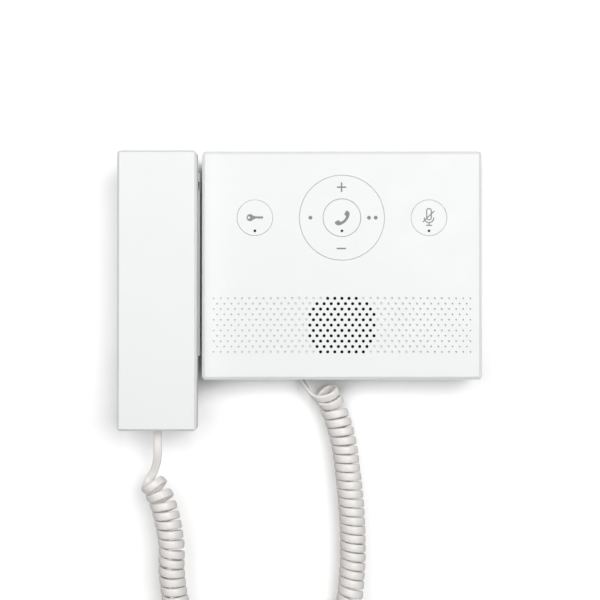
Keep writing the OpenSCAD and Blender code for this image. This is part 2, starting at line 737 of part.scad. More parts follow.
// Cap with a skirt, a stem to its dome and a hole for its light
module key_cap(at, r) {
  difference() {
    union() {
      turned(at) polygon([[0, base_d - cap_t], [r, base_d - cap_t], [r, base_d - edge_break],
        [r - edge_break, base_d], [0, base_d]]);
      tube(at, skirt_low_d, base_d - cap_t + slack, r - skirt_t, r);
      pole(at, dome_top_d, base_d - cap_t + slack, stem_r);
      children();
    }
    pole(at - [0, light_drop], base_d - cap_t - past, base_d + past, light_r + slack);
  }
}

// Small button, kept behind the panel by a flange
module small_button(at) {
  flange_d = panel_in_d - seat_gap;
  color(abs_white) key_cap(at, button_r)
    tube(at, flange_d - flange_t, flange_d, button_r - skirt_t, button_r + flange_out);
}

module door_button() { small_button(door_at); }

module mute_button() { small_button(mute_at); }

// Call button, kept under the pedestal's lip by a flange
module call_button() {
  flange_d = pedestal_lip_d - seat_gap;
  color(abs_white) key_cap(call_at, call_r)
    tube(call_at, flange_d - flange_t, flange_d, call_r - skirt_t, pedestal_bore_r - fit_gap);
}

module light_pipe(at) {
  color(smoke) translate([0, 0, -light_drop]) {
    pole(at, base_d - cap_t - slack, base_d, light_r);
    pole(at, pipe_rear_d, base_d - cap_t - slack, pipe_r);
  }
}

module door_light_pipe() { light_pipe(door_at); }

module mute_light_pipe() { light_pipe(mute_at); }

module call_light_pipe() { light_pipe(call_at); }

// Fixed guide of the call button, which carries the gimbal on two bores along X
module rocker_pedestal() {
  color(abs_grey) difference() {
    union() {
      pole(call_at, pedestal_low_d, pedestal_top_d, pedestal_r);
      for (p = pedestal_feet) pole(p, board_front_d, pedestal_low_d + past, pedestal_foot_r);
    }
    pole(call_at, pedestal_low_d - past, pedestal_lip_d, pedestal_bore_r);
    pole(call_at, pedestal_low_d, pedestal_top_d + past, pedestal_lip_r);
    translate([call_at[0], -pivot_d, call_at[1]]) rotate([0, 90, 0])
      cylinder(h = 3 * pedestal_r, r = pivot_bore_r, center = true);
  }
}

// Ring between the pedestal and the rocker: pins inward along X, pins outward along Z
module rocker_gimbal() {
  color(abs_grey) union() {
    tube(call_at, pivot_d - gimbal_half_t, pivot_d + gimbal_half_t, gimbal_in_r, gimbal_out_r);
    for (side = [-1, 1]) translate([call_at[0] + side * (gimbal_in_r - 0.6), -pivot_d, call_at[1]])
      rotate([0, 90, 0]) cylinder(h = pivot_pin_l, r = pivot_pin_r, center = true);
    for (side = [-1, 1]) translate([call_at[0], -pivot_d, call_at[1] + side * (gimbal_out_r + 0.6)])
      cylinder(h = pivot_pin_l, r = pivot_pin_r, center = true);
  }
}

// Four-way rocker ring: cap, skirt, hub on the gimbal's pins and four stems
module rocker_ring() {
  cap_in_d = base_d - cap_t;
  cap_in_r = call_r + groove;
  color(abs_white) difference() {
    union() {
      turned(call_at) polygon([[cap_in_r, cap_in_d], [rocker_r, cap_in_d], [rocker_r, base_d - edge_break],
        [rocker_r - edge_break, base_d], [cap_in_r + edge_break, base_d], [cap_in_r, base_d - edge_break]]);
      tube(call_at, pivot_d - 1.1, cap_in_d + slack, rocker_r - skirt_t, rocker_r);
      tube(call_at, pivot_d - 1.5, cap_in_d + slack, hub_in_r, hub_out_r);
      for (p = rocker_domes) pole(p, dome_top_d, cap_in_d + slack, rocker_stem_r);
    }
    translate([call_at[0], -pivot_d, call_at[1]])
      cylinder(h = 2 * hub_out_r + past, r = pivot_bore_r, center = true);
  }
}

module speaker_cloth() {
  color(smoke) pole(grille_at, cloth_d, panel_in_d, speaker_r - 1);
}

module speaker_gasket() {
  color(rubber_dark) tube(grille_at, gasket_d, cloth_d, basket_in_r, speaker_r - 1);
}

// Pressed basket: rim, sloping wall and back, with a hole for the voice coil
module speaker_basket() {
  color(steel) turned(grille_at)
    polygon([[basket_in_r, gasket_d], [speaker_r, gasket_d], [speaker_r, speaker_rim_d],
      [speaker_r - 3, speaker_rim_d], [magnet_r + 1.5, basket_rear_d], [coil_r, basket_rear_d],
      [coil_r, basket_rear_d + basket_t], [magnet_r + 1, basket_rear_d + basket_t],
      [basket_in_r, speaker_rim_d + basket_t]]);
}

module speaker_cone() {
  color(rubber_dark) turned(grille_at)
    polygon([[cone_r, gasket_d - slack], [cone_r, gasket_d - cone_t], [coil_r, cone_rear_d],
      [0, cone_rear_d + 1], [0, cone_rear_d + 1 + cone_t], [coil_r, cone_rear_d + cone_t],
      [cone_r - 0.6, gasket_d - slack]]);
}

module speaker_magnet() {
  color("dimgray") union() {
    pole(grille_at, basket_rear_d - magnet_t, basket_rear_d, magnet_r);
    pole(grille_at, basket_rear_d - past, basket_rear_d + 1.5, coil_r - 1);
  }
}

module speaker_screws() {
  color(steel) for (p = speaker_posts)
    screw(p, speaker_rim_d - washer_t, speaker_screw_tip_d - fit_gap, small_screw_r, washer_r, washer_t);
}

module panel_mic_boot() {
  color(rubber_dark) translate([mic_x, -mic_d, cover_floor_z]) difference() {
    cylinder(h = mic_boot_h, r = mic_boot_r);
    translate([0, 0, mic_floor]) cylinder(h = mic_boot_h, r = mic_r + slack);
    translate([0, 0, -past]) cylinder(h = mic_boot_h, r = mic_port_r);
  }
}

module panel_microphone() {
  color(steel) translate([mic_x, -mic_d, cover_floor_z + mic_floor]) cylinder(h = mic_h, r = mic_r);
}

module network_socket() {
  color(smoke) translate([0, 0, socket_z]) difference() {
    prism(socket_rear_d, board_rear_d)
      translate([-socket_size[0] / 2, 0]) square([socket_size[0], socket_size[2]]);
    translate([-socket_mouth[0] / 2, -socket_rear_d - socket_back - socket_mouth[1], -past])
      cube([socket_mouth[0], socket_mouth[1], socket_mouth[2] + past]);
  }
}

// Jack with its mouth down at the height z
module modular_jack(x, d, z) {
  color(smoke) translate([x, -d, z]) difference() {
    translate([-jack_size[0] / 2, -jack_size[1] / 2, 0]) cube(jack_size);
    translate([-plug_size[0] / 2 - plug_play, -plug_size[1] / 2 - plug_play, -past])
      cube([plug_size[0] + 2 * plug_play, plug_size[1] + 2 * plug_play, plug_size[2] + past + plug_play]);
  }
}

// Opening for a plug through a wall that starts at the height z
module plug_opening(x, d, z, wall) {
  mouth = [plug_size[0] + 2 * plug_play, plug_size[1] + 2 * plug_play, 2 * (wall + slack)];
  translate([x, -d, z]) cube(mouth, center = true);
}

// Plug in its jack, with a tail down to the place where the cord starts
module modular_plug(x, d, z, low_z) {
  color(clear_plastic) translate([x - plug_size[0] / 2, -d - plug_size[1] / 2, low_z])
    cube([plug_size[0], plug_size[1], z - low_z + plug_size[2]]);
}

module base_jack() { modular_jack(base_jack_x, base_jack_d, housing_floor_z); }

module base_plug() { modular_plug(base_jack_x, base_jack_d, housing_floor_z, base_exit[2]); }

// Side channel for the handset: floor, two long walls, a web to the base and two slanted hooks
module cradle() {
  color(abs_white) difference() {
    union() {
      translate([handset_x, 0, cradle_z]) difference() {
        prism(cradle_rear_d, cradle_rim_d) square([cradle_w, cradle_h], center = true);
        prism(cradle_floor_d, cradle_rim_d + past) square([cradle_in_w, cradle_h + past], center = true);
        prism(cradle_rear_d - past, cradle_under_d)
          square([cradle_in_w, cradle_h - 2 * cradle_wall], center = true);
      }
      translate([cradle_right_x - slack, 0, cradle_low_z]) prism(web_d - web_t, web_d)
        square([housing_left_x - cradle_right_x + slack, cradle_h]);
      for (z = cradle_screws_z) translate([cradle_right_x - slack, 0, z - cradle_pad_h / 2])
        prism(cradle_rear_d + past, web_d) square([housing_left_x - cradle_right_x + slack, cradle_pad_h]);
      for (z = pads) translate([handset_x, 0, z])
        prism(cradle_floor_d - past, pad_d) square(pad_size, center = true);
      for (z = hook_at_z) hook(z, hook_w, hook_t, hook_reach, hook_root);
      for (z = switch_ribs_z) translate([plunger_x, 0, z]) prism(switch_rear_d, cradle_floor_d - past)
        square([switch_size[0], switch_rib_t], center = true);
    }
    translate([cradle_in_right_x - past, 0, notch_z - notch_h / 2])
      prism(cradle_rim_d - notch_d, cradle_rim_d + past) square([cradle_wall + 2 * past, notch_h]);
    pole([plunger_x, plunger_z], cradle_under_d - past, cradle_floor_d + past, plunger_r + fit_gap);
    for (z = cradle_screws_z) translate([housing_left_x - cradle_screw_reach - slack, -cradle_screw_d, z])
      rotate([0, 90, 0]) cylinder(h = cradle_screw_reach + past, r = screw_r + slack);
  }
}

// Bar along the way the handset lifts, from the cradle's floor
module hook(z, w, t, reach, root) {
  translate([handset_x, -cradle_floor_d, z]) rotate([-lift_angle, 0, 0])
    translate([-w / 2, -reach, -t / 2]) cube([w, reach + root, t]);
}

module cradle_screws() {
  color(steel) for (z = cradle_screws_z) translate([housing_left_x, -cradle_screw_d, z])
    rotate([0, 90, 0]) {
      translate([0, 0, -cradle_screw_reach])
        cylinder(h = cradle_screw_reach + housing_t + past / 2, r = screw_r);
      translate([0, 0, housing_t]) cylinder(h = screw_head_t, r = screw_head_r);
    }
}

module hook_switch() {
  color(smoke) difference() {
    translate([plunger_x, 0, switch_z])
      prism(switch_rear_d, switch_top_d) square(switch_size, center = true);
    pole([plunger_x, plunger_z], plunger_tail_d - fit_gap, switch_top_d + past, switch_bore_r);
  }
}

module hook_plunger() {
  color(abs_grey) union() {
    pole([plunger_x, plunger_z], plunger_tail_d, plunger_tip_d, plunger_r);
    pole([plunger_x, plunger_z], plunger_collar_d, plunger_collar_d + plunger_collar_t, plunger_collar_r);
  }
}

// Return spring between the switch and the plunger's collar
module hook_spring() {
  low = switch_top_d + spring_wire_r + slack;
  high = plunger_collar_d - spring_wire_r - slack;
  count = spring_turns * curl_rings;
  line = [for (n = [0:count]) let (a = 360 * n / curl_rings)
    [[plunger_x + spring_r * cos(a), -low - (high - low) * n / count, plunger_z + spring_r * sin(a)],
      [0, -1, 0]]];
  rings = sweep_rings(line, wire_section(spring_wire_r));
  color(steel) polyhedron([for (r = rings) each r], sweep_faces(len(rings), 6));
}

// Plain bevelled front of the handset
module handset_front_shell() {
  color(abs_white) translate([handset_x, 0, handset_z]) difference() {
    union() {
      difference() {
        bevelled_block(handset_w, handset_l, handset_seam_d, handset_face_d, corner_r,
          handset_bevel_w, handset_bevel_d);
        prism(handset_seam_d - past, shell_front_in_d) square(lip_out, center = true);
      }
      for (z = handset_screws_z) pole([0, z - handset_z], handset_post_d, shell_front_in_d + past, boss_r);
      translate([0, 0, ear_z - handset_z]) prism(ear_top_d + seat_gap, shell_front_in_d + past) {
        square([earpiece_d * ear_rib_share, rib_t], center = true);
        square([rib_t, earpiece_d * ear_rib_share], center = true);
      }
      translate([0, 0, mouth_z - handset_z]) prism(mouth_top_d + seat_gap, shell_front_in_d + past)
        square([rib_t, mouth_boot_r], center = true);
    }
    for (z = handset_screws_z)
      pole([0, z - handset_z], handset_post_d - past, handset_screw_tip_d + fit_gap, screw_r + slack);
  }
}

// Back of the handset: ear and mouth holes, hook slots, screw bosses and the cord's opening
module handset_rear_shell() {
  color(abs_white) difference() {
    translate([handset_x, 0, handset_z]) union() {
      difference() {
        union() {
          bevelled_block(handset_rear_w, handset_rear_l, handset_seam_d, handset_back_d, corner_r,
            back_bevel, back_bevel);
          prism(handset_seam_d - past, handset_seam_d + lip_h)
            square(lip_out - 2 * fit_gap * [1, 1], center = true);
        }
        prism(shell_rear_in_d, handset_seam_d + lip_h + past) square(shell_in, center = true);
      }
      for (z = handset_screws_z) pole([0, z - handset_z], handset_back_d + past, handset_post_d, boss_r);
      rim(ear_z, earpiece_r);
      rim(mouth_z, mouth_boot_r);
    }
    for (z = handset_screws_z) {
      pole([handset_x, z], handset_back_d - past, handset_post_d + past, screw_hole_r);
      pole([handset_x, z], handset_back_d - past, handset_seat_d, screw_head_r + fit_gap);
    }
    for (p = ear_holes)
      pole([handset_x, ear_z] + p, handset_back_d - past, shell_rear_in_d + past, ear_hole_r);
    for (p = mouth_holes)
      pole([handset_x, mouth_z] + p, handset_back_d - past, shell_rear_in_d + past, mouth_hole_r);
    for (z = hook_at_z)
      hook(z, hook_w + 2 * hook_clear, hook_t + 2 * hook_clear, hook_reach + past, hook_root);
    plug_opening(handset_jack_x, handset_jack_d, handset_rear_low_z, shell_t);
  }
}

// Round rim inside the rear shell that holds a piece of radius r
module rim(z, r) {
  tube([0, z - handset_z], shell_rear_in_d - past, shell_rear_in_d + 3, r + seat_gap, r + seat_gap + 1.2);
}

module handset_screws() {
  color(steel) for (z = handset_screws_z)
    screw([handset_x, z], handset_seat_d - screw_head_t, handset_screw_tip_d, screw_r, screw_head_r,
      screw_head_t);
}

module earpiece_gasket() {
  color(rubber_dark) tube([handset_x, ear_z], shell_rear_in_d, ear_low_d, earpiece_r - ear_rim, earpiece_r);
}

module earpiece() {
  color(steel) turned([handset_x, ear_z])
    polygon([[0, ear_low_d + 1.2], [earpiece_r - ear_rim - 1, ear_low_d + 1.2],
      [earpiece_r - ear_rim, ear_low_d], [earpiece_r, ear_low_d], [earpiece_r, ear_low_d + 2.5],
      [earpiece_r - ear_can_inset, ear_low_d + 4], [earpiece_r - ear_can_inset, ear_top_d],
      [0, ear_top_d]]);
}

module handset_mic_boot() {
  color(rubber_dark) difference() {
    pole([handset_x, mouth_z], shell_rear_in_d, mouth_top_d, mouth_boot_r);
    pole([handset_x, mouth_z], mouth_mic_low_d, mouth_top_d + past, mouth_mic_r + slack);
    for (p = mouth_holes)
      pole([handset_x, mouth_z] + p, shell_rear_in_d - past, mouth_mic_low_d + past, mouth_hole_r);
  }
}

module handset_microphone() {
  color(steel)
    pole([handset_x, mouth_z], mouth_mic_low_d, mouth_mic_low_d + mouth_mic_h, mouth_mic_r);
}

// Steel bar that gives the handset its weight
module handset_weight() {
  color("dimgray") translate([handset_x, 0, weight_z])
    prism(shell_front_in_d - weight_t, shell_front_in_d) round_rect(weight_size[0], weight_size[1], 2);
}

module handset_board() {
  color(board_green) translate([handset_x, 0, handset_floor_z + handset_board_size[1] / 2 + 0.3])
    prism(handset_board_d, handset_board_d + handset_board_t) square(handset_board_size, center = true);
}

module handset_jack() { modular_jack(handset_jack_x, handset_jack_d, handset_floor_z); }

module handset_plug() { modular_plug(handset_jack_x, handset_jack_d, handset_floor_z, handset_exit[2]); }

// Flat cord wound in one unbroken helix, with both ends
module curly_cord() {
  rings = sweep_rings(cord_line, cord_section);
  echo(least_gap_mm = min(turn_gaps(sweep_rings(curls, cord_section), curl_rings)),
    cord_length_mm = cord_length(cord_line), curl_spacing_mm = curl_sum[axis_count - 1] / curl_turns);
  color(cord_grey) polyhedron([for (r = rings) each r], sweep_faces(len(rings), 6));
}
function cord_length(line) = let (steps = [for (i = [1:len(line) - 1]) norm(line[i][0] - line[i - 1][0])])
  sum_to(concat(steps, [0]))[len(steps)];

wall_plate();
rear_housing();
front_cover();
main_board();
board_screws();
housing_screws();
keypad_mat();
status_leds();
door_button();
mute_button();
call_button();
door_light_pipe();
mute_light_pipe();
call_light_pipe();
rocker_pedestal();
rocker_gimbal();
rocker_ring();
speaker_cloth();
speaker_gasket();
speaker_basket();
speaker_cone();
speaker_magnet();
speaker_screws();
panel_microphone();
panel_mic_boot();
network_socket();
base_jack();
base_plug();
cradle();
cradle_screws();
hook_switch();
hook_plunger();
hook_spring();
handset_front_shell();
handset_rear_shell();
handset_screws();
earpiece();
earpiece_gasket();
handset_microphone();
handset_mic_boot();
handset_weight();
handset_board();
handset_jack();
handset_plug();
curly_cord();
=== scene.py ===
"""Looks of a wall intercom station: a base with keys and a dot grille, a handset and a curly cord."""

import json
import math

import bmesh
import bpy
from bpy.props import FloatProperty, FloatVectorProperty, IntProperty, PointerProperty
from bpy.types import Operator, Panel, PropertyGroup
from mathutils import Matrix, Vector

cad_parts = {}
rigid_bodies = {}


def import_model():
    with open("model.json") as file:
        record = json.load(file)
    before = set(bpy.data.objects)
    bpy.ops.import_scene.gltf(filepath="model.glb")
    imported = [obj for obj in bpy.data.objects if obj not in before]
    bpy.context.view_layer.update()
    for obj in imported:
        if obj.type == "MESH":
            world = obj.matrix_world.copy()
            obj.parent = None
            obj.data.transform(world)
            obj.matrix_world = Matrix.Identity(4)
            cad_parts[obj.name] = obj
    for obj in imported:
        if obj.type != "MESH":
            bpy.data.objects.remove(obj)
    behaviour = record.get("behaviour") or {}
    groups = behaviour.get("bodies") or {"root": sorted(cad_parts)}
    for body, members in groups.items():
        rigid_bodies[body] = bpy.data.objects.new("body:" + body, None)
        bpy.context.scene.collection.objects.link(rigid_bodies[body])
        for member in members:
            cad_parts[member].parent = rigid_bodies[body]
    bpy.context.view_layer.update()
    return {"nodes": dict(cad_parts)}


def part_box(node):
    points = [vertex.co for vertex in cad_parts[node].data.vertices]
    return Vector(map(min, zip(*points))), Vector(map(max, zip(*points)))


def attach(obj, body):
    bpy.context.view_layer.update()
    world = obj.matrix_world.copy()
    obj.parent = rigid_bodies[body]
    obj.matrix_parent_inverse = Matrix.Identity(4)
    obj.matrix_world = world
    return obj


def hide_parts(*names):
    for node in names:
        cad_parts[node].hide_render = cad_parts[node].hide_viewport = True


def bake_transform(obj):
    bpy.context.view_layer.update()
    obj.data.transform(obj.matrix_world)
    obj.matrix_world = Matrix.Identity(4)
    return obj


bl_info = {
    "name": "Wall intercom station",
    "version": (1, 0, 0),
    "blender": (4, 5, 0),
    "location": "3D View > Sidebar > Intercom",
    "description": "Dresses the packed intercom station: cord, prints, screws, finishes and stage",
    "category": "Object",
}

for leftover in list(bpy.data.objects):
    bpy.data.objects.remove(leftover)
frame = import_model()
NODES = frame["nodes"]
MM = 0.001

# Route of the cord as x, depth and height in millimetres, from the exit at each plug
TAIL_HANDSET = ((0, 0, 0), (0, 0, -6), (0, -0.3, -12), (-0.2, -1.6, -18), (-1.4, -4.2, -23.4),
                (-3.4, -7, -28), (-5.8, -8.6, -32.4), (-7.7, -7.4, -36))
CURLS_HANDSET = ((-3.7, -2.4, -34), (1.4, -2.4, -43), (4.8, -2.4, -53), (7.2, -2.4, -64),
                 (8.7, -2.9, -76.5), (8.7, -3.4, -92.5), (12.7, -4.4, -114.5), (23.7, -5.9, -134.5),
                 (42.7, -7.4, -148.5), (65.7, -8.9, -153.5))
CURLS_BASE = ((-2, 7.5, -181), (17, 6.5, -167), (29, 6, -147), (32, 5.5, -125), (32.5, 5.5, -105),
              (31.5, 5.5, -83), (29.5, 5.5, -63), (26.5, 5.5, -42), (22, 5.5, -26), (15.6, 5.5, -10.4))
TAIL_BASE = ((11.3, 11.2, -14.5), (7.4, 8.4, -13), (4.2, 4.6, -9.5), (1.9, 1.6, -6.2), (0.5, 0.3, -3.6),
             (0, 0, -2), (0, 0, 0))
# Directions in which the flat cord is wide on its way into the base
TAIL_BASE_WIDE = ((-0.1, 0.5, 0.8), (-0.1, 0.8, 0.5), (-0.2, 0.9, 0.3), (-0.3, 0.95, 0.1), (-0.4, 0.9, 0),
                  (-0.6, 0.8, 0), (-1, 0, 0))
# How far the end curls lean over to the straight ends
LEAN_HANDSET = Vector((0.28, 0, 0.2))
LEAN_BASE = Vector((-0.04, -0.5, -0.1))
# Steps of the curls' axis from one point of its route to the next, and the steps over which each lean fades
AXIS_STEPS = 16
LEAN_HANDSET_STEPS = 32
LEAN_BASE_STEPS = 14
LEAN_BASE_FADE = 8
# Distance between the contacts of a modular plug or socket, in millimetres
CONTACT_PITCH = 1.02
# Lamps with their places and sizes in metres and their power in watts
LAMPS = (("right_softbox", (0.9, -2.4, 0.5), (1.5, 1.5), 34),
         ("front_softbox", (-0.2, -2.6, 0.2), (3.0, 1.5), 27),
         ("left_softbox", (-1.5, -2.1, 0.3), (0.6, 1.2), 6),
         ("near_lamp", (-0.25, -0.8, 0.3), (0.25, 0.25), 0.8),
         ("back_lamp", (-0.1, 1.3, 0.4), (1.0, 1.0), 2.5))


def linear(code):
    """Linear colour of an sRGB hex value such as #8a8f8e."""
    parts = [int(code[i:i + 2], 16) / 255 for i in (1, 3, 5)]
    return tuple(p / 12.92 if p <= 0.04045 else ((p + 0.055) / 1.055) ** 2.4 for p in parts)


WHITE = (*linear("#ffffff"), 1)


class StationSizes(PropertyGroup):
    """Sizes that a user would change without a new CAD model."""

    cord_width: FloatProperty(
        name="Cord width", description="Width of the flat cord", default=5.1 * MM, unit="LENGTH")
    cord_thickness: FloatProperty(
        name="Cord thickness", description="Thickness of the flat cord", default=2.4 * MM, unit="LENGTH")
    curl_radius: FloatProperty(
        name="Curl radius", description="Radius of the curls at the middle of the cord",
        default=7.05 * MM, unit="LENGTH")
    curl_turns: FloatProperty(
        name="Curls", description="Number of curls of the cord", default=59.25)
    curl_rings: IntProperty(
        name="Rings per curl", description="Sections of the cord's mesh in one curl", default=32)
    print_height: FloatProperty(
        name="Print height", description="How far the pad print stands on a key",
        default=0.04 * MM, unit="LENGTH")
    edge_round: FloatProperty(
        name="Edge rounding", description="Rounding that the mould leaves on a shell's edges",
        default=0.2 * MM, unit="LENGTH")


class StationColours(PropertyGroup):
    """Colours that a user would change."""

    shell: FloatVectorProperty(
        name="Shells", description="Moulded shells and keys", subtype="COLOR", min=0, max=1,
        default=linear("#eceded"))
    ink: FloatVectorProperty(
        name="Prints", description="Ink of the signs on the keys", subtype="COLOR", min=0, max=1,
        default=linear("#858a89"))
    sheath: FloatVectorProperty(
        name="Cord", description="Sheath of the curly cord", subtype="COLOR", min=0, max=1,
        default=linear("#f0edea"))
    smoke: FloatVectorProperty(
        name="Light windows", description="Smoked light windows of the keys", subtype="COLOR", min=0, max=1,
        default=linear("#0a0a0b"))
    mask: FloatVectorProperty(
        name="Circuit boards", description="Solder mask of the boards", subtype="COLOR", min=0, max=1,
        default=linear("#1f5b3a"))
    wall: FloatVectorProperty(
        name="Wall", description="Paint of the wall behind the station", subtype="COLOR", min=0, max=1,
        default=linear("#fbfbfb"))


def add_node(tree, kind, sockets=(), **settings):
    """Adds a node with its settings; each socket gets a value or a link. Returns the node."""
    node = tree.nodes.new(kind)
    for name, value in settings.items():
        setattr(node, name, value)
    for name, value in dict(sockets).items():
        if isinstance(value, bpy.types.NodeSocket):
            tree.links.new(value, node.inputs[name])
        else:
            node.inputs[name].default_value = value
    return node


def start_material(name):
    """New material with one shader, and the place of a point in its own piece in metres."""
    material = bpy.data.materials.new(name)
    material.use_nodes = True
    tree = material.node_tree
    tree.nodes.clear()
    shader = add_node(tree, "ShaderNodeBsdfPrincipled")
    add_node(tree, "ShaderNodeOutputMaterial", {"Surface": shader.outputs[0]})
    place = add_node(tree, "ShaderNodeTexCoord").outputs["Object"]
    return material, tree, shader, place


def surface(name, colour, roughness, tone=(0.97, 30), gloss=(0.05, 9), grain=(0.4, 0.01),
            metallic=0.0, ior=None, stretch=(1, 1, 1)):
    """Finish with patches of tone, patches of gloss and a raised grain.

    tone is the darkest share and the size of a patch, gloss the change of roughness and the size of
    a patch, grain the size and height of a grain, all in millimetres. stretch draws the grain out.
    """
    material, tree, shader, place = start_material(name)
    shader.inputs["Metallic"].default_value = metallic
    if ior:
        shader.inputs["IOR"].default_value = ior
    patches = add_node(tree, "ShaderNodeTexNoise", {
        "Vector": place, "Scale": 1 / (tone[1] * MM), "Detail": 2})
    pale = (*colour[:3], 1)
    dark = (*[c * tone[0] for c in colour[:3]], 1)
    mixed = add_node(tree, "ShaderNodeMix", {0: patches.outputs[0], 6: dark, 7: pale}, data_type="RGBA")
    tree.links.new(mixed.outputs[2], shader.inputs["Base Color"])
    sheen = add_node(tree, "ShaderNodeTexNoise", {
        "Vector": place, "Scale": 1 / (gloss[1] * MM), "Detail": 3})
    rough = add_node(tree, "ShaderNodeMapRange", {
        "Value": sheen.outputs[0], "From Min": 0.3, "From Max": 0.7,
        "To Min": roughness - gloss[0] / 2, "To Max": roughness + gloss[0] / 2})
    tree.links.new(rough.outputs[0], shader.inputs["Roughness"])
    drawn = add_node(tree, "ShaderNodeMapping", {"Vector": place, "Scale": stretch})
    bumps = add_node(tree, "ShaderNodeTexNoise", {
        "Vector": drawn.outputs[0], "Scale": 1 / (grain[0] * MM), "Detail": 2})
    raised = add_node(tree, "ShaderNodeBump", {
        "Height": bumps.outputs[0], "Strength": 1.0, "Distance": grain[1] * MM})
    tree.links.new(raised.outputs[0], shader.inputs["Normal"])
    return material, tree, shader, place


def lay_pattern(tree, shader, pattern, colour=None, height=None):
    """Lays a pattern over a finish: in another colour, raised to a height in millimetres, or both."""
    if colour:
        under = shader.inputs["Base Color"].links[0].from_socket
        mixed = add_node(tree, "ShaderNodeMix", {0: pattern, 6: under, 7: (*colour, 1)}, data_type="RGBA")
        tree.links.new(mixed.outputs[2], shader.inputs["Base Color"])
    if height:
        grain = shader.inputs["Normal"].links[0].from_socket
        raised = add_node(tree, "ShaderNodeBump", {
            "Height": pattern, "Normal": grain, "Strength": 1.0, "Distance": height * MM})
        tree.links.new(raised.outputs[0], shader.inputs["Normal"])


def bands(distance):
    """Scale of a wave texture whose bands lie a distance in millimetres apart.

    At a scale of one, Blender draws 20 bands in 2 pi metres.
    """
    return 2 * math.pi / (20 * distance * MM)


def tune(material, values):
    """Sets more of a material's shader, by the names of its sockets."""
    shader = material.node_tree.nodes["Principled BSDF"]
    for name, value in values.items():
        shader.inputs[name].default_value = value


FINISHES = {}


def mid(node):
    """Middle of a CAD node's box."""
    low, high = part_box(node)
    return (low + high) / 2


def dress(material, *nodes):
    """Gives CAD nodes a material."""
    for node in nodes:
        data = NODES[node].data
        data.materials.clear()
        data.materials.append(material)


def add_piece(name, mesh, materials, body, replaced=()):
    """Turns a bmesh into a piece of the scene that rides on a body."""
    bmesh.ops.recalc_face_normals(mesh, faces=mesh.faces)
    data = bpy.data.meshes.new(name)
    mesh.to_mesh(data)
    mesh.free()
    for material in materials:
        data.materials.append(material)
    piece = bpy.data.objects.new(name, data)
    bpy.context.scene.collection.objects.link(piece)
    if replaced:
        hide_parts(*replaced)
    if body:
        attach(piece, body)
    return piece


def smooth_line(points, steps, before=None, after=None):
    """Smooth curve through points, with a number of steps from each to the next."""
    ends = [points[0] if before is None else before, *points, points[-1] if after is None else after]
    line = []
    for i in range(len(points) - 1):
        a, b, c, d = ends[i:i + 4]
        for k in range(steps):
            u = k / steps
            bend = (2 * a - 5 * b + 4 * c - d) * u * u + (3 * b - a - 3 * c + d) * u ** 3
            line.append((2 * b + (c - a) * u + bend) / 2)
    line.append(points[-1].copy())
    return line


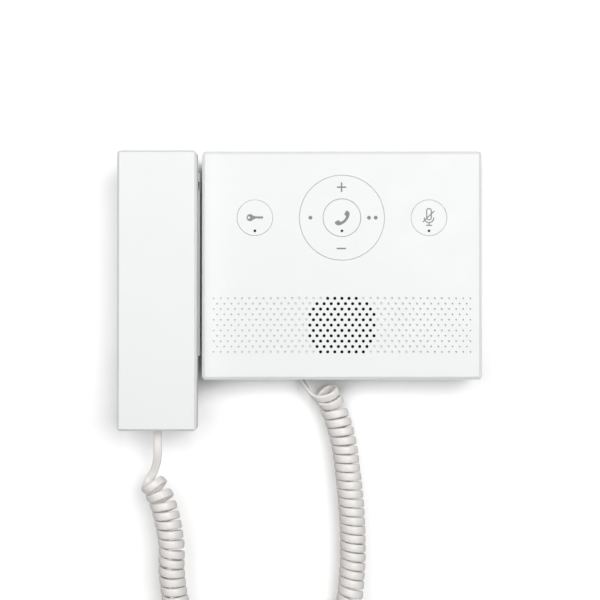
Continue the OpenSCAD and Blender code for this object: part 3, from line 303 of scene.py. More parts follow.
def make_finishes(colours):
    """All materials of the station, by a short name."""
    made = {}

    # ABS moulded in a fine spark-eroded tool: satin, even, with a grain too fine to see from a step
    # away. The real grain of 0.15 mm is drawn at 0.45 mm so that it shows in close views.
    moulded = {"roughness": 0.42, "tone": (0.988, 40), "gloss": (0.06, 12), "grain": (0.45, 0.004),
               "ior": 1.54}
    made["white_abs"] = surface("Moulded_white_ABS", colours.shell, **moulded)[0]

    # The same ABS for the cover, with painted shade in the blind dots of its field, most in the small ones at
    # both ends. The shade starts just below the face, inside the field, whose middle and half size are given
    # along two axes.
    cover, tree, shader, place = surface("Moulded_white_ABS_with_painted_dot_shade", colours.shell, **moulded)
    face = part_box("front_cover")[0].y
    spot = add_node(tree, "ShaderNodeSeparateXYZ", {0: place})
    painted_dot_shade = add_node(tree, "ShaderNodeMapRange", {
        "Value": spot.outputs[1], "From Min": face + 0.1 * MM, "From Max": face + 0.3 * MM})
    for axis, middle, half in ((0, 0, 84 * MM), (2, -37 * MM, 20 * MM)):
        within = add_node(tree, "ShaderNodeMath", {0: spot.outputs[axis], 1: middle, 2: half},
                          operation="COMPARE")
        painted_dot_shade = add_node(tree, "ShaderNodeMath", {0: painted_dot_shade.outputs[0], 1: within.outputs[0]},
                          operation="MULTIPLY")
    # The painted shade in the dots deepens from the middle of the field towards both ends
    from_middle = add_node(tree, "ShaderNodeMath", {0: spot.outputs[0]}, operation="ABSOLUTE")
    shade_deepening_to_ends = add_node(tree, "ShaderNodeMapRange", {
        "Value": from_middle.outputs[0], "From Min": 20 * MM, "From Max": 75 * MM, "To Min": 0.5})
    painted_dot_shade = add_node(tree, "ShaderNodeMath", {0: painted_dot_shade.outputs[0], 1: shade_deepening_to_ends.outputs[0]},
                      operation="MULTIPLY")
    lay_pattern(tree, shader, painted_dot_shade.outputs[0], colour=[c * 0.74 for c in colours.shell])
    made["cover_abs"] = cover

    # Acetal, moulded and left natural: slippery, a little waxy and warmer than the shells.
    made["acetal"] = surface(
        "Natural_acetal", linear("#e9e7df"), 0.34, tone=(0.97, 12), gloss=(0.05, 5),
        grain=(0.3, 0.003), ior=1.48)[0]

    # Pad-printed ink: one thin dull coat whose edge shows a slightly uneven film.
    made["ink"] = surface(
        "Pad_print_ink", colours.ink, 0.58, tone=(0.94, 2.5), gloss=(0.08, 1.5),
        grain=(0.25, 0.003), ior=1.5)[0]

    # Acrylic tinted with smoke, polished in the mould: nearly black until its lamp is lit.
    made["smoke"] = surface(
        "Smoked_acrylic", colours.smoke, 0.14, tone=(0.9, 1), gloss=(0.04, 1), grain=(0.6, 0.001),
        ior=1.49)[0]
    tune(made["smoke"], {"Specular IOR Level": 0.2})

    # Silicone rubber, compression moulded: dull, cloudy, with dust that it draws from the air.
    made["silicone"] = surface(
        "Moulded_silicone", linear("#cfcfc8"), 0.62, tone=(0.93, 6), gloss=(0.1, 3), grain=(0.35, 0.01),
        ior=1.41)[0]
    tune(made["silicone"], {"Subsurface Weight": 0.15, "Subsurface Scale": 1.5 * MM})

    # Zinc-plated steel: bright, faintly blue, with a soft satin from the plating bath.
    made["zinc"] = surface(
        "Zinc_plated_steel", linear("#c3c7cb"), 0.28, tone=(0.86, 2), gloss=(0.16, 1.2),
        grain=(0.2, 0.004), metallic=1.0)[0]

    # Spring steel wire: drawn through a die, so its scratches run along the wire.
    made["spring"] = surface(
        "Spring_steel_wire", linear("#a9acae"), 0.3, tone=(0.85, 1), gloss=(0.1, 0.8),
        grain=(0.12, 0.003), metallic=1.0, stretch=(1, 0.1, 1))[0]

    # Cold-rolled steel bar: dark, oiled, with long rolling marks.
    made["bar_steel"] = surface(
        "Rolled_steel_bar", linear("#8b8d8f"), 0.42, tone=(0.75, 8), gloss=(0.15, 4), grain=(0.5, 0.01),
        metallic=1.0, stretch=(1, 1, 0.08))[0]

    # Gold over nickel on the contacts: thin, bright and smooth.
    made["gold"] = surface(
        "Gold_plated_contacts", linear("#d8b25e"), 0.2, tone=(0.92, 1), gloss=(0.08, 0.6),
        grain=(0.1, 0.001), metallic=1.0)[0]

    # Deep-drawn aluminium cans of the microphones and capacitors: satin, marked along the draw.
    made["aluminium"] = surface(
        "Drawn_aluminium", linear("#cdd0d3"), 0.33, tone=(0.9, 2), gloss=(0.1, 1), grain=(0.15, 0.003),
        metallic=1.0, stretch=(1, 0.15, 1))[0]

    # Nylon with glass fibre, moulded black: dull, with pale fibre ends in the skin.
    made["nylon"] = surface(
        "Black_glass_filled_nylon", linear("#232426"), 0.52, tone=(0.7, 1.5), gloss=(0.12, 2),
        grain=(0.3, 0.008), ior=1.53)[0]

    # Epoxy moulded round a chip: charcoal, with the fine pits of its filler.
    made["chip"] = surface(
        "Chip_epoxy", linear("#2a2b2c"), 0.6, tone=(0.8, 1), gloss=(0.1, 1), grain=(0.18, 0.008), ior=1.55)[0]

    # Pressed paper of the loudspeaker's cone: soft, matted fibres of about a millimetre.
    made["paper"] = surface(
        "Pressed_paper_cone", linear("#2b2a28"), 0.85, tone=(0.6, 1.2), gloss=(0.08, 2), grain=(0.8, 0.05))[0]

    # Sintered ferrite of the magnet: a dark ceramic, ground on its faces.
    made["ferrite"] = surface(
        "Sintered_ferrite", linear("#3a3b3d"), 0.5, tone=(0.75, 2), gloss=(0.2, 2), grain=(0.25, 0.015))[0]

    # Closed-cell foam and soft rubber of the gaskets and boots: matt, with cells of half a millimetre.
    made["foam"] = surface(
        "Closed_cell_foam_rubber", linear("#37383a"), 0.9, tone=(0.65, 0.8), gloss=(0.05, 1),
        grain=(0.5, 0.08))[0]

    # Light-emitting diodes: a pale phosphor under clear epoxy.
    made["led"] = surface(
        "LED_phosphor_epoxy", linear("#e8dc9a"), 0.25, tone=(0.9, 0.5), gloss=(0.05, 0.5),
        grain=(0.3, 0.002), ior=1.5)[0]

    # Polycarbonate of the modular plugs, moulded clear: glossy, with the flow marks of a thick moulding.
    made["clear"] = surface(
        "Clear_polycarbonate", linear("#e6ecee"), 0.12, tone=(0.96, 4), gloss=(0.06, 2), grain=(1.2, 0.004),
        ior=1.58)[0]
    tune(made["clear"], {"Transmission Weight": 0.75})

    # PVC sheath, extruded flat over four wires: soft gloss, and a low rib over each wire.
    sheath, tree, shader, _ = surface(
        "PVC_cord_sheath", colours.sheath, 0.36, tone=(0.975, 9), gloss=(0.08, 4), grain=(0.5, 0.004),
        ior=1.53)
    across = add_node(tree, "ShaderNodeUVMap", uv_map="across_and_along")
    ribs = add_node(tree, "ShaderNodeTexWave", {
        "Vector": across.outputs[0], "Scale": bands(1.25)}, bands_direction="X")
    lay_pattern(tree, shader, ribs.outputs[1], height=0.05)
    made["sheath"] = sheath

    # Glass-fibre board under green solder mask: copper traces 0.5 mm wide show as paler raised lines.
    board, tree, shader, place = surface(
        "Solder_masked_board", colours.mask, 0.32, tone=(0.9, 10), gloss=(0.06, 4), grain=(0.4, 0.006),
        ior=1.5)
    cells = add_node(tree, "ShaderNodeTexVoronoi", {"Vector": place, "Scale": 1 / (4.5 * MM)},
                     feature="DISTANCE_TO_EDGE")
    traces = add_node(tree, "ShaderNodeMapRange", {
        "Value": cells.outputs[0], "From Min": 0.05, "From Max": 0.07, "To Min": 1.0, "To Max": 0.0})
    lay_pattern(tree, shader, traces.outputs[0], colour=linear("#3f8a5b"), height=0.035)
    made["board"] = board

    # Hot-dip galvanised sheet: spangles of about 6 mm, each crystal a little lighter or darker.
    plate, tree, shader, place = surface(
        "Galvanised_sheet_steel", linear("#b4b8bb"), 0.4, tone=(0.9, 15), gloss=(0.1, 5), grain=(0.3, 0.006),
        metallic=1.0)
    crystals = add_node(tree, "ShaderNodeTexVoronoi", {"Vector": place, "Scale": 1 / (6 * MM)})
    shade = add_node(tree, "ShaderNodeSeparateColor", {"Color": crystals.outputs["Color"]})
    share = add_node(tree, "ShaderNodeMapRange", {"Value": shade.outputs[0], "To Min": 0.0, "To Max": 0.35})
    lay_pattern(tree, shader, share.outputs[0], colour=linear("#8d9296"))
    made["galvanised"] = plate

    # Woven cloth behind the grille: a plain weave of black yarn. Threads of 0.25 mm are drawn at 0.5 mm.
    cloth, tree, shader, place = surface(
        "Woven_black_cloth", linear("#0d0d0e"), 0.9, tone=(0.7, 3), gloss=(0.05, 2), grain=(0.2, 0.02))
    thread = {"Vector": place, "Scale": bands(0.5)}
    warp = add_node(tree, "ShaderNodeTexWave", thread, bands_direction="X")
    weft = add_node(tree, "ShaderNodeTexWave", thread, bands_direction="Z")
    weave = add_node(tree, "ShaderNodeMath", {0: warp.outputs[1], 1: weft.outputs[1]}, operation="MULTIPLY")
    lay_pattern(tree, shader, weave.outputs[0], height=0.12)
    made["cloth"] = cloth
    return made


class STATION_OT_finishes(Operator):
    """Makes the materials of the station."""

    bl_idname = "station.finishes"
    bl_label = "Finishes"

    def execute(self, context):
        FINISHES.update(make_finishes(context.scene.station_colours))
        return {"FINISHED"}


class STATION_OT_camera(Operator):
    """Camera straight in front of the wall, a little below the base's middle."""

    bl_idname = "station.camera"
    bl_label = "Camera"

    def execute(self, context):
        data = bpy.data.cameras.new("Camera")
        data.sensor_width = 36
        data.lens = 69
        data.clip_start = 0.05
        data.clip_end = 50
        camera = bpy.data.objects.new("Camera", data)
        context.scene.collection.objects.link(camera)
        camera.location = Vector((-24.56, -750, -29.24)) * MM
        camera.rotation_euler = [math.radians(a) for a in (90.6, 0, 0.13)]
        context.scene.camera = camera
        return {"FINISHED"}


def exit_of(plug):
    """Point at the foot of a plug, where the cord comes out."""
    low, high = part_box(plug)
    return Vector(((low.x + high.x) / 2, (low.y + high.y) / 2, low.z))


def routed(start, route):
    """Points of a route in the frame, from its exit and its x, depth and height in millimetres."""
    return [start + Vector((x, -depth, z)) * MM for x, depth, z in route]


def square_to(vector, way):
    """Part of a vector that is square to a direction, with length one."""
    return (vector - way * vector.dot(way)).normalized()


def cord_curls(sizes, axis):
    """Points of the curls round their axis, and the axis's direction at each."""
    last = len(axis) - 1
    ways = []
    for i in range(last + 1):
        way = (axis[min(last, i + 1)] - axis[max(0, i - 1)]).normalized()
        way += LEAN_HANDSET * max(0, 1 - i / LEAN_HANDSET_STEPS) ** 2
        way += LEAN_BASE * max(0, min(1, (LEAN_BASE_STEPS - last + i) / LEAN_BASE_FADE))
        ways.append(way.normalized())
    # Curls stand wider apart where the axis bends, so that they keep clear on the inside of the bend
    spent = [0.0]
    for i in range(last):
        step = (axis[i + 1] - axis[i]).length - sizes.curl_radius * (ways[i + 1] - ways[i]).length
        spent.append(spent[-1] + step)
    count = round(sizes.curl_turns * sizes.curl_rings)
    points = []
    wides = []
    i = 0
    for n in range(count + 1):
        reached = spent[-1] * n / count
        while i < last - 1 and spent[i + 1] < reached:
            i += 1
        share = (reached - spent[i]) / (spent[i + 1] - spent[i])
        way = ways[i].lerp(ways[i + 1], share).normalized()
        front = square_to(Vector((0, -1, 0)), way)
        out = way.cross(front)
        turn = 2 * math.pi * n / sizes.curl_rings
        spoke = out * math.cos(turn) + front * math.sin(turn)
        points.append(axis[i].lerp(axis[i + 1], share) + spoke * sizes.curl_radius)
        wides.append(way)
    return points, wides


def cord_line(sizes):
    """Middle line of the whole cord, and the direction in which the flat cord is wide at each point."""
    handset = exit_of("handset_plug")
    base = exit_of("base_plug")
    axis = smooth_line(routed(handset, CURLS_HANDSET) + routed(base, CURLS_BASE), AXIS_STEPS)
    curls, curl_wides = cord_curls(sizes, axis)
    eighth = sizes.curl_rings // 8
    steps = 6
    first = routed(handset, TAIL_HANDSET)
    tail = smooth_line(first + [curls[0]], steps, after=curls[eighth])[:-1]
    line = list(tail)
    wides = []
    for k in range(len(tail)):
        share = (k / steps / len(first)) ** 2
        wides.append((Vector((1, 0, 0)) * (1 - share) + curl_wides[0] * share).normalized())
    line += curls
    wides += curl_wides
    tail = smooth_line([curls[-1]] + routed(base, TAIL_BASE), steps, before=curls[-1 - eighth])[1:]
    turned = [curl_wides[-1]] + [Vector((x, -depth, z)) for x, depth, z in TAIL_BASE_WIDE]
    line += tail
    for k in range(1, len(tail) + 1):
        i = min(k // steps, len(turned) - 2)
        wides.append(turned[i].lerp(turned[i + 1], k / steps - i).normalized())
    return line, wides


def cord_section(sizes, count=28):
    """Outline of the flat cord: full round edges and slightly crowned faces."""
    fullness = 0.68
    section = []
    for k in range(count):
        turn = 2 * math.pi * k / count
        x = math.copysign(abs(math.cos(turn)) ** fullness, math.cos(turn))
        y = math.copysign(abs(math.sin(turn)) ** fullness, math.sin(turn))
        section.append((x * sizes.cord_width / 2, y * sizes.cord_thickness / 2))
    return section


class STATION_OT_cord(Operator):
    """Curly cord from the handset's foot to the base's foot, one sweep of the flat section."""

    bl_idname = "station.cord"
    bl_label = "Curly cord"

    def execute(self, context):
        sizes = context.scene.station_sizes
        line, wides = cord_line(sizes)
        section = cord_section(sizes)
        sides = len(section)
        mesh = bmesh.new()
        places = mesh.loops.layers.uv.new("across_and_along")
        rows = []
        run = [0.0]
        for i, point in enumerate(line):
            before = line[max(0, i - 1)]
            after = line[min(len(line) - 1, i + 1)]
            way = (after - before).normalized()
            wide = square_to(wides[i], way)
            thick = wide.cross(way)
            rows.append([mesh.verts.new(point + wide * x + thick * y) for x, y in section])
            if i:
                run.append(run[-1] + (point - before).length)
        for i in range(len(rows) - 1):
            for k in range(sides):
                j = (k + 1) % sides
                face = mesh.faces.new((rows[i][k], rows[i][j], rows[i + 1][j], rows[i + 1][k]))
                face.smooth = True
                corners = ((k, i), (j, i), (j, i + 1), (k, i + 1))
                for loop, (side, row) in zip(face.loops, corners):
                    loop[places].uv = (section[side][0], run[row])
        mesh.faces.new(rows[0])
        mesh.faces.new(rows[-1])
        cord = add_piece(
            "curly_cord_sheath", mesh, [FINISHES["sheath"]], None, ("curly_cord",))
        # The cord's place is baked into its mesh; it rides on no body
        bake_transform(cord)
        return {"FINISHED"}


def soften(node, width):
    """Rounds a moulded node's sharp edges by the small radius that a mould leaves."""
    piece = NODES[node]
    weld = piece.modifiers.new("One_skin", "WELD")
    weld.merge_threshold = 0.002 * MM
    flat = piece.modifiers.new("Whole_faces", "DECIMATE")
    flat.decimate_type = "DISSOLVE"
    flat.angle_limit = math.radians(0.3)
    edge = piece.modifiers.new("Mould_radius", "BEVEL")
    edge.width = width
    edge.segments = 2
    edge.limit_method = "ANGLE"
    edge.angle_limit = math.radians(25)
    edge.harden_normals = True


class STATION_OT_shells(Operator):
    """White mouldings: the base's cover and housing, the cradle and the handset's two shells."""

    bl_idname = "station.shells"
    bl_label = "Shells"

    def execute(self, context):
        shells = ("rear_housing", "cradle", "handset_front_shell", "handset_rear_shell")
        dress(FINISHES["cover_abs"], "front_cover")
        dress(FINISHES["white_abs"], *shells)
        for node in shells:
            soften(node, context.scene.station_sizes.edge_round)
        return {"FINISHED"}


def disc(x, z, radius, count=40):
    """Round outline in millimetres."""
    turns = [2 * math.pi * k / count for k in range(count)]
    return [(x + radius * math.cos(t), z + radius * math.sin(t)) for t in turns]


def add_outline(mesh, outline, centre, depth):
    """Points of an outline in millimetres round a centre, at a depth."""
    return [mesh.verts.new((centre.x + x * MM, depth, centre.z + z * MM)) for x, z in outline]


def bridge(mesh, rows):
    """Faces from each closed row of points to the next."""
    made = []
    for low, high in zip(rows, rows[1:]):
        for k in range(len(low)):
            j = (k + 1) % len(low)
            made.append(mesh.faces.new((low[k], low[j], high[j], high[k])))
    return made


def add_ring(mesh, centre, inner, outer, front):
    """Ring round a key, between two radii in millimetres, from its front backwards."""
    lip_depth = 0.6 * MM
    back = front + lip_depth
    rows = []
    for radius, depth in ((inner, front), (outer, front), (outer, back), (inner, back)):
        rows.append(add_outline(mesh, disc(0, 0, radius, 96), centre, depth))
    bridge(mesh, rows + rows[:1])


class STATION_OT_keys(Operator):
    """Keys, the lips that narrow their gaps, the parts that they tilt on, their mat and light windows."""

    bl_idname = "station.keys"
    bl_label = "Keys"

    def execute(self, context):
        dress(FINISHES["white_abs"], "door_button", "mute_button", "call_button", "rocker_ring")
        dress(FINISHES["acetal"], "rocker_pedestal", "rocker_gimbal")
        dress(FINISHES["smoke"], "door_light_pipe", "mute_light_pipe", "call_light_pipe")
        dress(FINISHES["silicone"], "keypad_mat")
        dress(FINISHES["led"], "status_leds")
        # Lips on the cover and on the call key, each by its inner and outer radius in millimetres, keep
        # dust out and leave room for the tilt of the ring
        below_face = 0.02 * MM
        mesh = bmesh.new()
        cover_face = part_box("front_cover")[0].y + below_face
        for node, inner, outer in (("door_button", 11.3, 11.67), ("mute_button", 11.3, 11.67),
                                   ("rocker_ring", 26.72, 27.07)):
            add_ring(mesh, mid(node), inner, outer, cover_face)
        add_piece("key_hole_lips", mesh, [FINISHES["white_abs"]], "base")
        mesh = bmesh.new()
        add_ring(mesh, mid("call_button"), 11.33, 11.63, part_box("call_button")[0].y + below_face)
        add_piece("call_button_lip", mesh, [FINISHES["white_abs"]], "call_button")
        return {"FINISHED"}


def arc(x, z, radius, start, end, count=24):
    """Points of an arc in millimetres, between two angles in degrees."""
    turns = [math.radians(start + (end - start) * k / count) for k in range(count + 1)]
    return [(x + radius * math.cos(t), z + radius * math.sin(t)) for t in turns]


def bar(x, z, width, height):
    """Square-ended bar in millimetres."""
    return [(x + sx * width / 2, z + sz * height / 2) for sx, sz in ((-1, -1), (1, -1), (1, 1), (-1, 1))]


def stroke(points, width):
    """Outline of a line of that width with round ends, in millimetres."""
    half = width / 2
    sides = ([], [])
    for i, (x, z) in enumerate(points):
        ax, az = points[max(0, i - 1)]
        bx, bz = points[min(len(points) - 1, i + 1)]
        reach = math.hypot(bx - ax, bz - az)
        nx, nz = (az - bz) / reach * half, (bx - ax) / reach * half
        sides[0].append((x + nx, z + nz))
        sides[1].append((x - nx, z - nz))
    caps = []
    for (x, z), (sx, sz) in ((points[-1], sides[0][-1]), (points[0], sides[1][0])):
        turn = math.degrees(math.atan2(sz - z, sx - x))
        caps.append(arc(x, z, half, turn, turn - 180, 10)[1:-1])
    return sides[0] + caps[0] + sides[1][::-1] + caps[1]


def add_plate(mesh, loops, centre, front, back):
    """Thin closed print: an outline in millimetres with its holes, between two depths."""
    rims = ([], [])
    for loop in loops:
        rows = [add_outline(mesh, loop, centre, depth) for depth in (front, back)]
        bridge(mesh, rows)
        for rim, row in zip(rims, rows):
            for i in range(len(row)):
                rim.append(mesh.edges.get((row[i], row[(i + 1) % len(row)])))
    for rim in rims:
        bmesh.ops.triangle_fill(mesh, use_beauty=True, use_dissolve=False, edges=rim)


def key_sign():
    """Door key: a round bow with its hole, a collar and a notched shaft."""
    shaft = [(-0.6, 0.85), (4.7, 0.85), (5.35, 0.25), (4.7, -0.7), (4.1, -0.7), (3.7, -0.2), (3.3, -0.2),
             (2.9, -0.85), (2.5, -0.85), (2.1, -0.2), (1.7, -0.2), (1.3, -0.75), (0.9, -0.3), (-0.6, -0.65)]
    return [[disc(-2.95, 0.05, 2.2), disc(-3.7, 0.1, 0.75)], [disc(-0.6, 0.1, 1.1)], [shaft]]


def phone_sign():
    """Telephone receiver, drawn level and turned by 45 degrees."""
    half = [(0, -1.8), (1.2, -1.72), (2.1, -1.4), (2.5, -0.9), (2.55, 0.2), (2.75, 0.6), (4.7, 1.15),
            (5.4, 0.95), (5.65, 0.2), (5.55, -0.9), (5.05, -1.8), (4.0, -2.55), (2.5, -3.1), (1.0, -3.4),
            (0, -3.45)]
    level = half + [(-x, z) for x, z in half[-2:0:-1]]
    turn = math.sqrt(0.5)
    return [[[((x - z) * turn, (x + z) * turn) for x, z in level]]]


def mute_sign():
    """Microphone on its stand, with a stroke through it."""
    capsule = []
    for radius in (1.43 + 0.35, 1.43 - 0.35):
        capsule.append(arc(0, 4.29, radius, 0, 180) + arc(0, 0.05, radius, 180, 360))
    yoke = stroke(arc(0, -0.16, 2.94, 180, 360), 0.7)
    stand = stroke([(0, -3.1), (0, -4.75)], 0.7)
    foot = stroke([(-1.6, -4.8), (1.6, -4.8)], 0.7)
    slash = stroke([(3.15, 4.0), (-3.65, -2.5)], 0.7)
    return [capsule, [yoke], [stand], [foot], [slash]]


def rocker_signs():
    """Plus above, minus below, one dot at the left and two at the right."""
    bars = [bar(-0.2, 19.1, 5.8, 0.95), bar(-0.2, 19.1, 0.95, 5.9), bar(-0.4, -19.25, 5.8, 0.95)]
    dots = [disc(-19.7, 0, 1.2), disc(16.9, 0, 1.2), disc(21.1, 0, 1.2)]
    return [[outline] for outline in bars + dots]


class STATION_OT_prints(Operator):
    """Signs printed on the keys: door key, receiver, struck microphone, plus, minus and dots."""

    bl_idname = "station.prints"
    bl_label = "Prints"

    def execute(self, context):
        height = context.scene.station_sizes.print_height
        prints = (("door_button", key_sign()), ("call_button", phone_sign()),
                  ("mute_button", mute_sign()), ("rocker_ring", rocker_signs()))
        for node, sign in prints:
            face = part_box(node)[0].y
            mesh = bmesh.new()
            for number, loops in enumerate(sign):
                # Crossing strokes lie a hair apart so that no two faces share a plane
                front = face - height - number * 0.002 * MM
                add_plate(mesh, loops, mid(node), front, face + 0.02 * MM)
            add_piece(node + "_print", mesh, [FINISHES["ink"]], node)
        return {"FINISHED"}


TO_WALL = Matrix.Rotation(math.radians(-90), 4, "X")


def add_row(mesh, place, outline, height):
    """Points of an outline at a height, both in millimetres."""
    return [mesh.verts.new(place @ (Vector((x, y, height)) * MM)) for x, y in outline]


def add_turned(mesh, place, profile, index=0, count=32):
    """Solid of revolution from radius and height in millimetres, closed at both ends."""
    rows = [add_row(mesh, place, disc(0, 0, radius, count), height) for radius, height in profile]
    for face in bridge(mesh, rows):
        face.smooth = True
        face.material_index = index
    for row in (rows[0], rows[-1]):
        mesh.faces.new(row).material_index = index


def add_block(mesh, place, centre, size, index=0, chamfer=0.0):
    """Chamfered block, with its middle and size in millimetres."""
    where = place @ Matrix.Translation(Vector(centre) * MM) @ Matrix.Diagonal((*[s * MM for s in size], 1))
    made = bmesh.ops.create_cube(mesh, size=1.0, matrix=where)["verts"]
    for face in {face for vert in made for face in vert.link_faces}:
        face.material_index = index
    if chamfer:
        edges = list({edge for vert in made for edge in vert.link_edges})
        bmesh.ops.bevel(mesh, geom=edges, offset=chamfer * MM, segments=1, affect="EDGES", profile=0.5)


def add_screw(mesh, place, head_r, head_t, shank_r, length):
    """Pan-head screw with a cross recess and a threaded shank; sizes in millimetres, head along +Z."""
    rings = []
    for radius, height in ((1, 0), (1, 0.45), (0.95, 0.75), (0.86, 0.93), (0.72, 1)):
        rings.append(add_row(mesh, place, disc(0, 0, radius * head_r, 36), height * head_t))
    for face in bridge(mesh, rings):
        face.smooth = True
    # The recess is a cross that narrows on its way down
    arm = 0.55 * head_r
    half = 0.15 * head_r
    cross = []
    for turn in range(4):
        for point in ((arm, -half, 0), (arm, half, 0), (half, half, 0)):
            cross.append(Matrix.Rotation(math.radians(90 * turn), 4, "Z") @ Vector(point))
    pocket = []
    for share, height in ((1, head_t), (0.7, head_t * 0.35)):
        pocket.append(add_row(mesh, place, [(p.x * share, p.y * share) for p in cross], height))
    bridge(mesh, pocket)
    rim = []
    for row in (rings[-1], pocket[0]):
        for k in range(len(row)):
            rim.append(mesh.edges.get((row[k - 1], row[k])) or mesh.edges.new((row[k - 1], row[k])))
    bmesh.ops.triangle_fill(mesh, use_beauty=True, use_dissolve=False, edges=rim)
    mesh.faces.new(pocket[1])
    mesh.faces.new(rings[0])
    pitch = 0.8
    root_r = shank_r * 0.8
    thread = [(shank_r, 0.0)]
    for k in range(int(length / pitch)):
        thread.append((root_r, -(k + 0.5) * pitch))
        thread.append((shank_r, -(k + 1) * pitch))
    thread.append((0.1, -length))
    add_turned(mesh, place, thread, count=18)


class STATION_OT_screws(Operator):
    """Screws of the housing, the handset and the board, with cross recesses."""

    bl_idname = "station.screws"
    bl_label = "Screws"

    def execute(self, context):
        zinc = FINISHES["zinc"]
        groups = (("housing_screws", "base", 2.9, 2.0, 1.5), ("handset_screws", "handset", 2.9, 2.0, 1.5),
                  ("board_screws", "base", 2.2, 1.6, 1.1))
        for node, body, head_r, head_t, shank_r in groups:
            low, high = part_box(node)
            ins = head_r * MM
            across = sorted({round(low.x + ins, 6), round(high.x - ins, 6)})
            upright = (low.z + ins, high.z - ins)
            length = (high.y - low.y) / MM - head_t
            mesh = bmesh.new()
            for x in across:
                for z in upright:
                    seat = Matrix.Translation((x, high.y - head_t * MM, z)) @ TO_WALL
                    add_screw(mesh, seat, head_r, head_t, shank_r, length)
            add_piece(node + "_crossed", mesh, [zinc], body, (node,))
        dress(zinc, "cradle_screws", "speaker_screws")
        return {"FINISHED"}


class STATION_OT_speaker(Operator):
    """Loudspeaker, microphones, earpiece and their soft seats."""

    bl_idname = "station.speaker"
    bl_label = "Sound parts"

    def execute(self, context):
        dress(FINISHES["cloth"], "speaker_cloth")
        dress(FINISHES["foam"], "speaker_gasket", "panel_mic_boot", "earpiece_gasket", "handset_mic_boot")
        dress(FINISHES["zinc"], "speaker_basket")
        dress(FINISHES["paper"], "speaker_cone")
        dress(FINISHES["ferrite"], "speaker_magnet")
        dress(FINISHES["aluminium"], "panel_microphone", "handset_microphone")
        dress(FINISHES["nylon"], "earpiece")
        dress(FINISHES["bar_steel"], "handset_weight")
        return {"FINISHED"}


def add_chip(mesh, place, x, y, size, legs):
    """Square chip with a number of legs on each of its sides, in millimetres."""
    leg_wide, leg_long, leg_high = 0.28, 1.1, 0.5
    add_block(mesh, place, (x, y, 0.8), (size, size, 1.3), 0, 0.12)
    for k in range(legs):
        step = (k - (legs - 1) / 2) * (size - 1.2) / (legs - 1)
        for side in (-1, 1):
            reach = side * (size / 2 + 0.45)
            add_block(mesh, place, (x + step, y + reach, leg_high / 2), (leg_wide, leg_long, leg_high), 1)
            add_block(mesh, place, (x + reach, y + step, leg_high / 2), (leg_long, leg_wide, leg_high), 1)


def add_can(mesh, place, x, y, radius, height):
    """Electrolytic capacitor, a grooved can on a square foot, in millimetres."""
    foot = 2 * radius + 0.4
    add_block(mesh, place, (x, y, 0.5), (foot, foot, 1), 0, 0.3)
    profile = ((radius, 0), (radius * 0.93, 0.5), (radius, 1), (radius, height - 0.5),
               (radius * 0.94, height - 0.1), (radius * 0.8, height))
    add_turned(mesh, place @ Matrix.Translation(Vector((x, y, 1)) * MM), profile, 2)


def add_chip_resistor(mesh, place, x, y):
    """Resistor or capacitor without legs, its two ends tinned."""
    add_block(mesh, place, (x, y, 0.4), (0.8, 1.6, 0.7), 3, 0.06)
    for side in (-1, 1):
        add_block(mesh, place, (x, y + side * 0.75, 0.4), (0.84, 0.35, 0.74), 1)


class STATION_OT_electronics(Operator):
    """Boards, sockets and hook switch, and the small parts on the back of the main board."""

    bl_idname = "station.electronics"
    bl_label = "Electronics"

    def execute(self, context):
        dress(FINISHES["board"], "main_board", "handset_board")
        dress(FINISHES["nylon"], "base_jack", "handset_jack", "hook_switch")
        dress(FINISHES["zinc"], "network_socket")
        dress(FINISHES["acetal"], "hook_plunger")
        dress(FINISHES["spring"], "hook_spring")
        low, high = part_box("main_board")
        # On the back of the board local X runs to the right and local Y down, in millimetres
        back = Matrix.Translation((0, high.y, low.z)) @ TO_WALL
        mesh = bmesh.new()
        for x, y, size, legs in ((-19, -16, 9, 10), (22, -13, 6, 6), (-34, -34, 5, 4), (30, -36, 7, 8)):
            add_chip(mesh, back, x, y, size, legs)
        for x, y, radius, height in ((14, -27, 2.5, 5.2), (-14, -29, 3.1, 5.8), (36, -12, 2.5, 5.2)):
            add_can(mesh, back, x, y, radius, height)
        for k in range(7):
            for x, y in ((-28 + k * 2.6, -6.5), (12 + k * 2.6, -5.5)):
                add_chip_resistor(mesh, back, x, y)
        materials = [FINISHES["chip"], FINISHES["zinc"], FINISHES["aluminium"], FINISHES["paper"]]
        add_piece("board_parts", mesh, materials, "base")
        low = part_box("network_socket")[0]
        mesh = bmesh.new()
        for k in range(8):
            x = mid("network_socket").x / MM + (k - 3.5) * CONTACT_PITCH
            centre = (x, low.y / MM + 4.6, low.z / MM + 7)
            add_block(mesh, Matrix.Identity(4), centre, (0.35, 0.35, 9), 0, 0.05)
        add_piece("network_contacts", mesh, [FINISHES["gold"]], "base")
        return {"FINISHED"}


class STATION_OT_plugs(Operator):
    """Clear plugs at both ends of the cord, with four gilt blades each."""

    bl_idname = "station.plugs"
    bl_label = "Plugs"

    def execute(self, context):
        dress(FINISHES["clear"], "base_plug", "handset_plug")
        for node, body in (("base_plug", "base"), ("handset_plug", "handset")):
            low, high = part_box(node)
            mesh = bmesh.new()
            for k in range(4):
                x = mid(node).x / MM + (k - 1.5) * CONTACT_PITCH
                centre = (x, low.y / MM + 1.2, high.z / MM - 3.2)
                add_block(mesh, Matrix.Identity(4), centre, (0.34, 2.2, 5.6), 0, 0.05)
            add_piece(node + "_blades", mesh, [FINISHES["gold"]], body)
        return {"FINISHED"}


class STATION_OT_plate(Operator):
    """Sheet-metal plate on the wall."""

    bl_idname = "station.plate"
    bl_label = "Wall plate"

    def execute(self, context):
        dress(FINISHES["galvanised"], "wall_plate")
        soften("wall_plate", context.scene.station_sizes.edge_round)
        return {"FINISHED"}


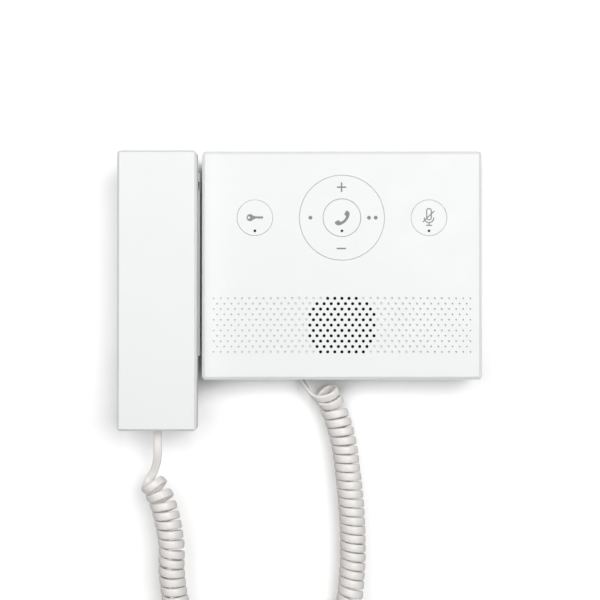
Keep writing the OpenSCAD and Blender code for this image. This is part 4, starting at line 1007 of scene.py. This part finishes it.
def wall_paint(colours):
    """Matt white emulsion, rolled on, for the wall.

    From its front it is solid to the camera, to reflections, to shadows and to light that has bounced
    twice. Light that has bounced once passes, so that the wall doesn't brighten the station's sides.
    From behind it is clear, so that the back of the station shows.
    """
    material, tree, shader, _ = surface(
        "Rolled_white_emulsion", colours.wall, 0.9, tone=(0.997, 200), gloss=(0.04, 30), grain=(2.5, 0.01))
    shader.inputs["Specular IOR Level"].default_value = 0.0
    path = add_node(tree, "ShaderNodeLightPath")
    # Seen from the camera the paint is a tenth whiter, which makes the background white and keeps the
    # shadows on it
    gain = add_node(tree, "ShaderNodeMapRange", {
        "Value": path.outputs["Is Camera Ray"], "To Min": 1.0, "To Max": 1.1})
    # The narrow gap between handset and base is darkened by painted shade: where more than half of a point's
    # view is blocked within 60 mm, the paint and its glow fade towards a third
    room = add_node(tree, "ShaderNodeAmbientOcclusion", {"Distance": 60 * MM}, samples=16)
    reached = add_node(tree, "ShaderNodeMapRange", {
        "Value": room.outputs["AO"], "From Min": 0.22, "From Max": 0.5, "To Min": 0.33})
    whitening_and_painted_shade = add_node(tree, "ShaderNodeMath", {0: gain.outputs[0], 1: reached.outputs[0]},
                        operation="MULTIPLY")
    paint = shader.inputs["Base Color"].links[0].from_socket
    whiter = add_node(tree, "ShaderNodeVectorMath", {0: paint, "Scale": whitening_and_painted_shade.outputs[0]},
                      operation="SCALE")
    tree.links.new(whiter.outputs[0], shader.inputs["Base Color"])
    # The glow takes the same painted shade as the paint
    glow_with_painted_shade = add_node(tree, "ShaderNodeMath", {0: reached.outputs[0], 1: 0.05}, operation="MULTIPLY")
    glow = add_node(tree, "ShaderNodeEmission", {"Color": WHITE, "Strength": glow_with_painted_shade.outputs[0]})
    lit = add_node(tree, "ShaderNodeAddShader", {0: shader.outputs[0], 1: glow.outputs[0]})
    # The depth of a shadow ray is one or more, so that with one added it always counts as two bounces
    bounces = add_node(tree, "ShaderNodeMath", {
        0: path.outputs["Ray Depth"], 1: path.outputs["Is Shadow Ray"]}, operation="ADD")
    seen = add_node(tree, "ShaderNodeMath", {0: bounces.outputs[0], 1: 1.5}, operation="GREATER_THAN")
    for ray in ("Is Camera Ray", "Is Glossy Ray", "Is Transmission Ray"):
        seen = add_node(tree, "ShaderNodeMath", {0: seen.outputs[0], 1: path.outputs[ray]},
                        operation="MAXIMUM")
    side = add_node(tree, "ShaderNodeNewGeometry")
    shown = add_node(tree, "ShaderNodeMath", {
        0: seen.outputs[0], 1: side.outputs["Backfacing"]}, operation="SUBTRACT", use_clamp=True)
    through = add_node(tree, "ShaderNodeBsdfTransparent")
    mixed = add_node(tree, "ShaderNodeMixShader", {
        0: shown.outputs[0], 1: through.outputs[0], 2: lit.outputs[0]})
    output = next(node for node in tree.nodes if node.type == "OUTPUT_MATERIAL")
    tree.links.new(mixed.outputs[0], output.inputs["Surface"])
    return material


def add_wall(scene, material):
    """Wall behind the station, a hair away from its back."""
    half = 1.6
    behind = 0.6 * MM
    data = bpy.data.meshes.new("wall")
    corners = [(x, behind, z) for x, z in ((-half, -half), (half, -half), (half, half), (-half, half))]
    data.from_pydata(corners, [], [(0, 1, 2, 3)])
    data.materials.append(material)
    wall = bpy.data.objects.new("wall", data)
    scene.collection.objects.link(wall)


def add_lamps(scene):
    """Soft lamps, all turned towards the station."""
    station = Vector((-0.025, 0, -0.03))
    for name, place, size, power in LAMPS:
        light = bpy.data.lights.new(name, "AREA")
        light.shape = "RECTANGLE"
        light.size, light.size_y = size
        light.energy = power
        lamp = bpy.data.objects.new(name, light)
        scene.collection.objects.link(lamp)
        lamp.location = place
        lamp.rotation_euler = (station - lamp.location).to_track_quat("-Z", "Y").to_euler()


def add_room(scene):
    """Surroundings that light the station faintly and are white to the camera."""
    scene.world = bpy.data.worlds.new("Pale_room")
    scene.world.use_nodes = True
    tree = scene.world.node_tree
    tree.nodes.clear()
    path = add_node(tree, "ShaderNodeLightPath")
    room = add_node(tree, "ShaderNodeBackground", {"Color": WHITE, "Strength": 0.1})
    backdrop = add_node(tree, "ShaderNodeBackground", {"Color": WHITE, "Strength": 1.0})
    mixed = add_node(tree, "ShaderNodeMixShader", {
        0: path.outputs["Is Camera Ray"], 1: room.outputs[0], 2: backdrop.outputs[0]})
    add_node(tree, "ShaderNodeOutputWorld", {"Surface": mixed.outputs[0]})


class STATION_OT_stage(Operator):
    """White wall, soft lamps and pale surroundings."""

    bl_idname = "station.stage"
    bl_label = "Stage"

    def execute(self, context):
        add_wall(context.scene, wall_paint(context.scene.station_colours))
        add_lamps(context.scene)
        add_room(context.scene)
        context.scene.view_settings.view_transform = "Standard"
        return {"FINISHED"}


OPERATORS = (STATION_OT_finishes, STATION_OT_camera, STATION_OT_cord, STATION_OT_shells, STATION_OT_keys,
             STATION_OT_prints, STATION_OT_screws, STATION_OT_speaker, STATION_OT_electronics,
             STATION_OT_plugs, STATION_OT_plate, STATION_OT_stage)


class STATION_PT_panel(Panel):
    """Lists the station's steps, sizes and colours."""

    bl_idname = "STATION_PT_panel"
    bl_label = "Wall intercom station"
    bl_space_type = "VIEW_3D"
    bl_region_type = "UI"
    bl_category = "Intercom"

    def draw(self, context):
        for group in (context.scene.station_sizes, context.scene.station_colours):
            for name in group.bl_rna.properties.keys():
                if name not in ("rna_type", "name"):
                    self.layout.prop(group, name)
        for operator in OPERATORS:
            self.layout.operator(operator.bl_idname)


CLASSES = (StationSizes, StationColours, *OPERATORS, STATION_PT_panel)


def register():
    """Registers the classes and the two groups of settings."""
    for kind in CLASSES:
        bpy.utils.register_class(kind)
    bpy.types.Scene.station_sizes = PointerProperty(type=StationSizes)
    bpy.types.Scene.station_colours = PointerProperty(type=StationColours)


def unregister():
    """Takes the settings and the classes away again."""
    del bpy.types.Scene.station_colours
    del bpy.types.Scene.station_sizes
    for kind in reversed(CLASSES):
        bpy.utils.unregister_class(kind)


def main():
    """Dresses the station step by step."""
    register()
    bpy.ops.station.finishes()
    bpy.ops.station.camera()
    bpy.ops.station.cord()
    bpy.ops.station.shells()
    bpy.ops.station.keys()
    bpy.ops.station.prints()
    bpy.ops.station.screws()
    bpy.ops.station.speaker()
    bpy.ops.station.electronics()
    bpy.ops.station.plugs()
    bpy.ops.station.plate()
    bpy.ops.station.stage()


if __name__ == "__main__":
    main()
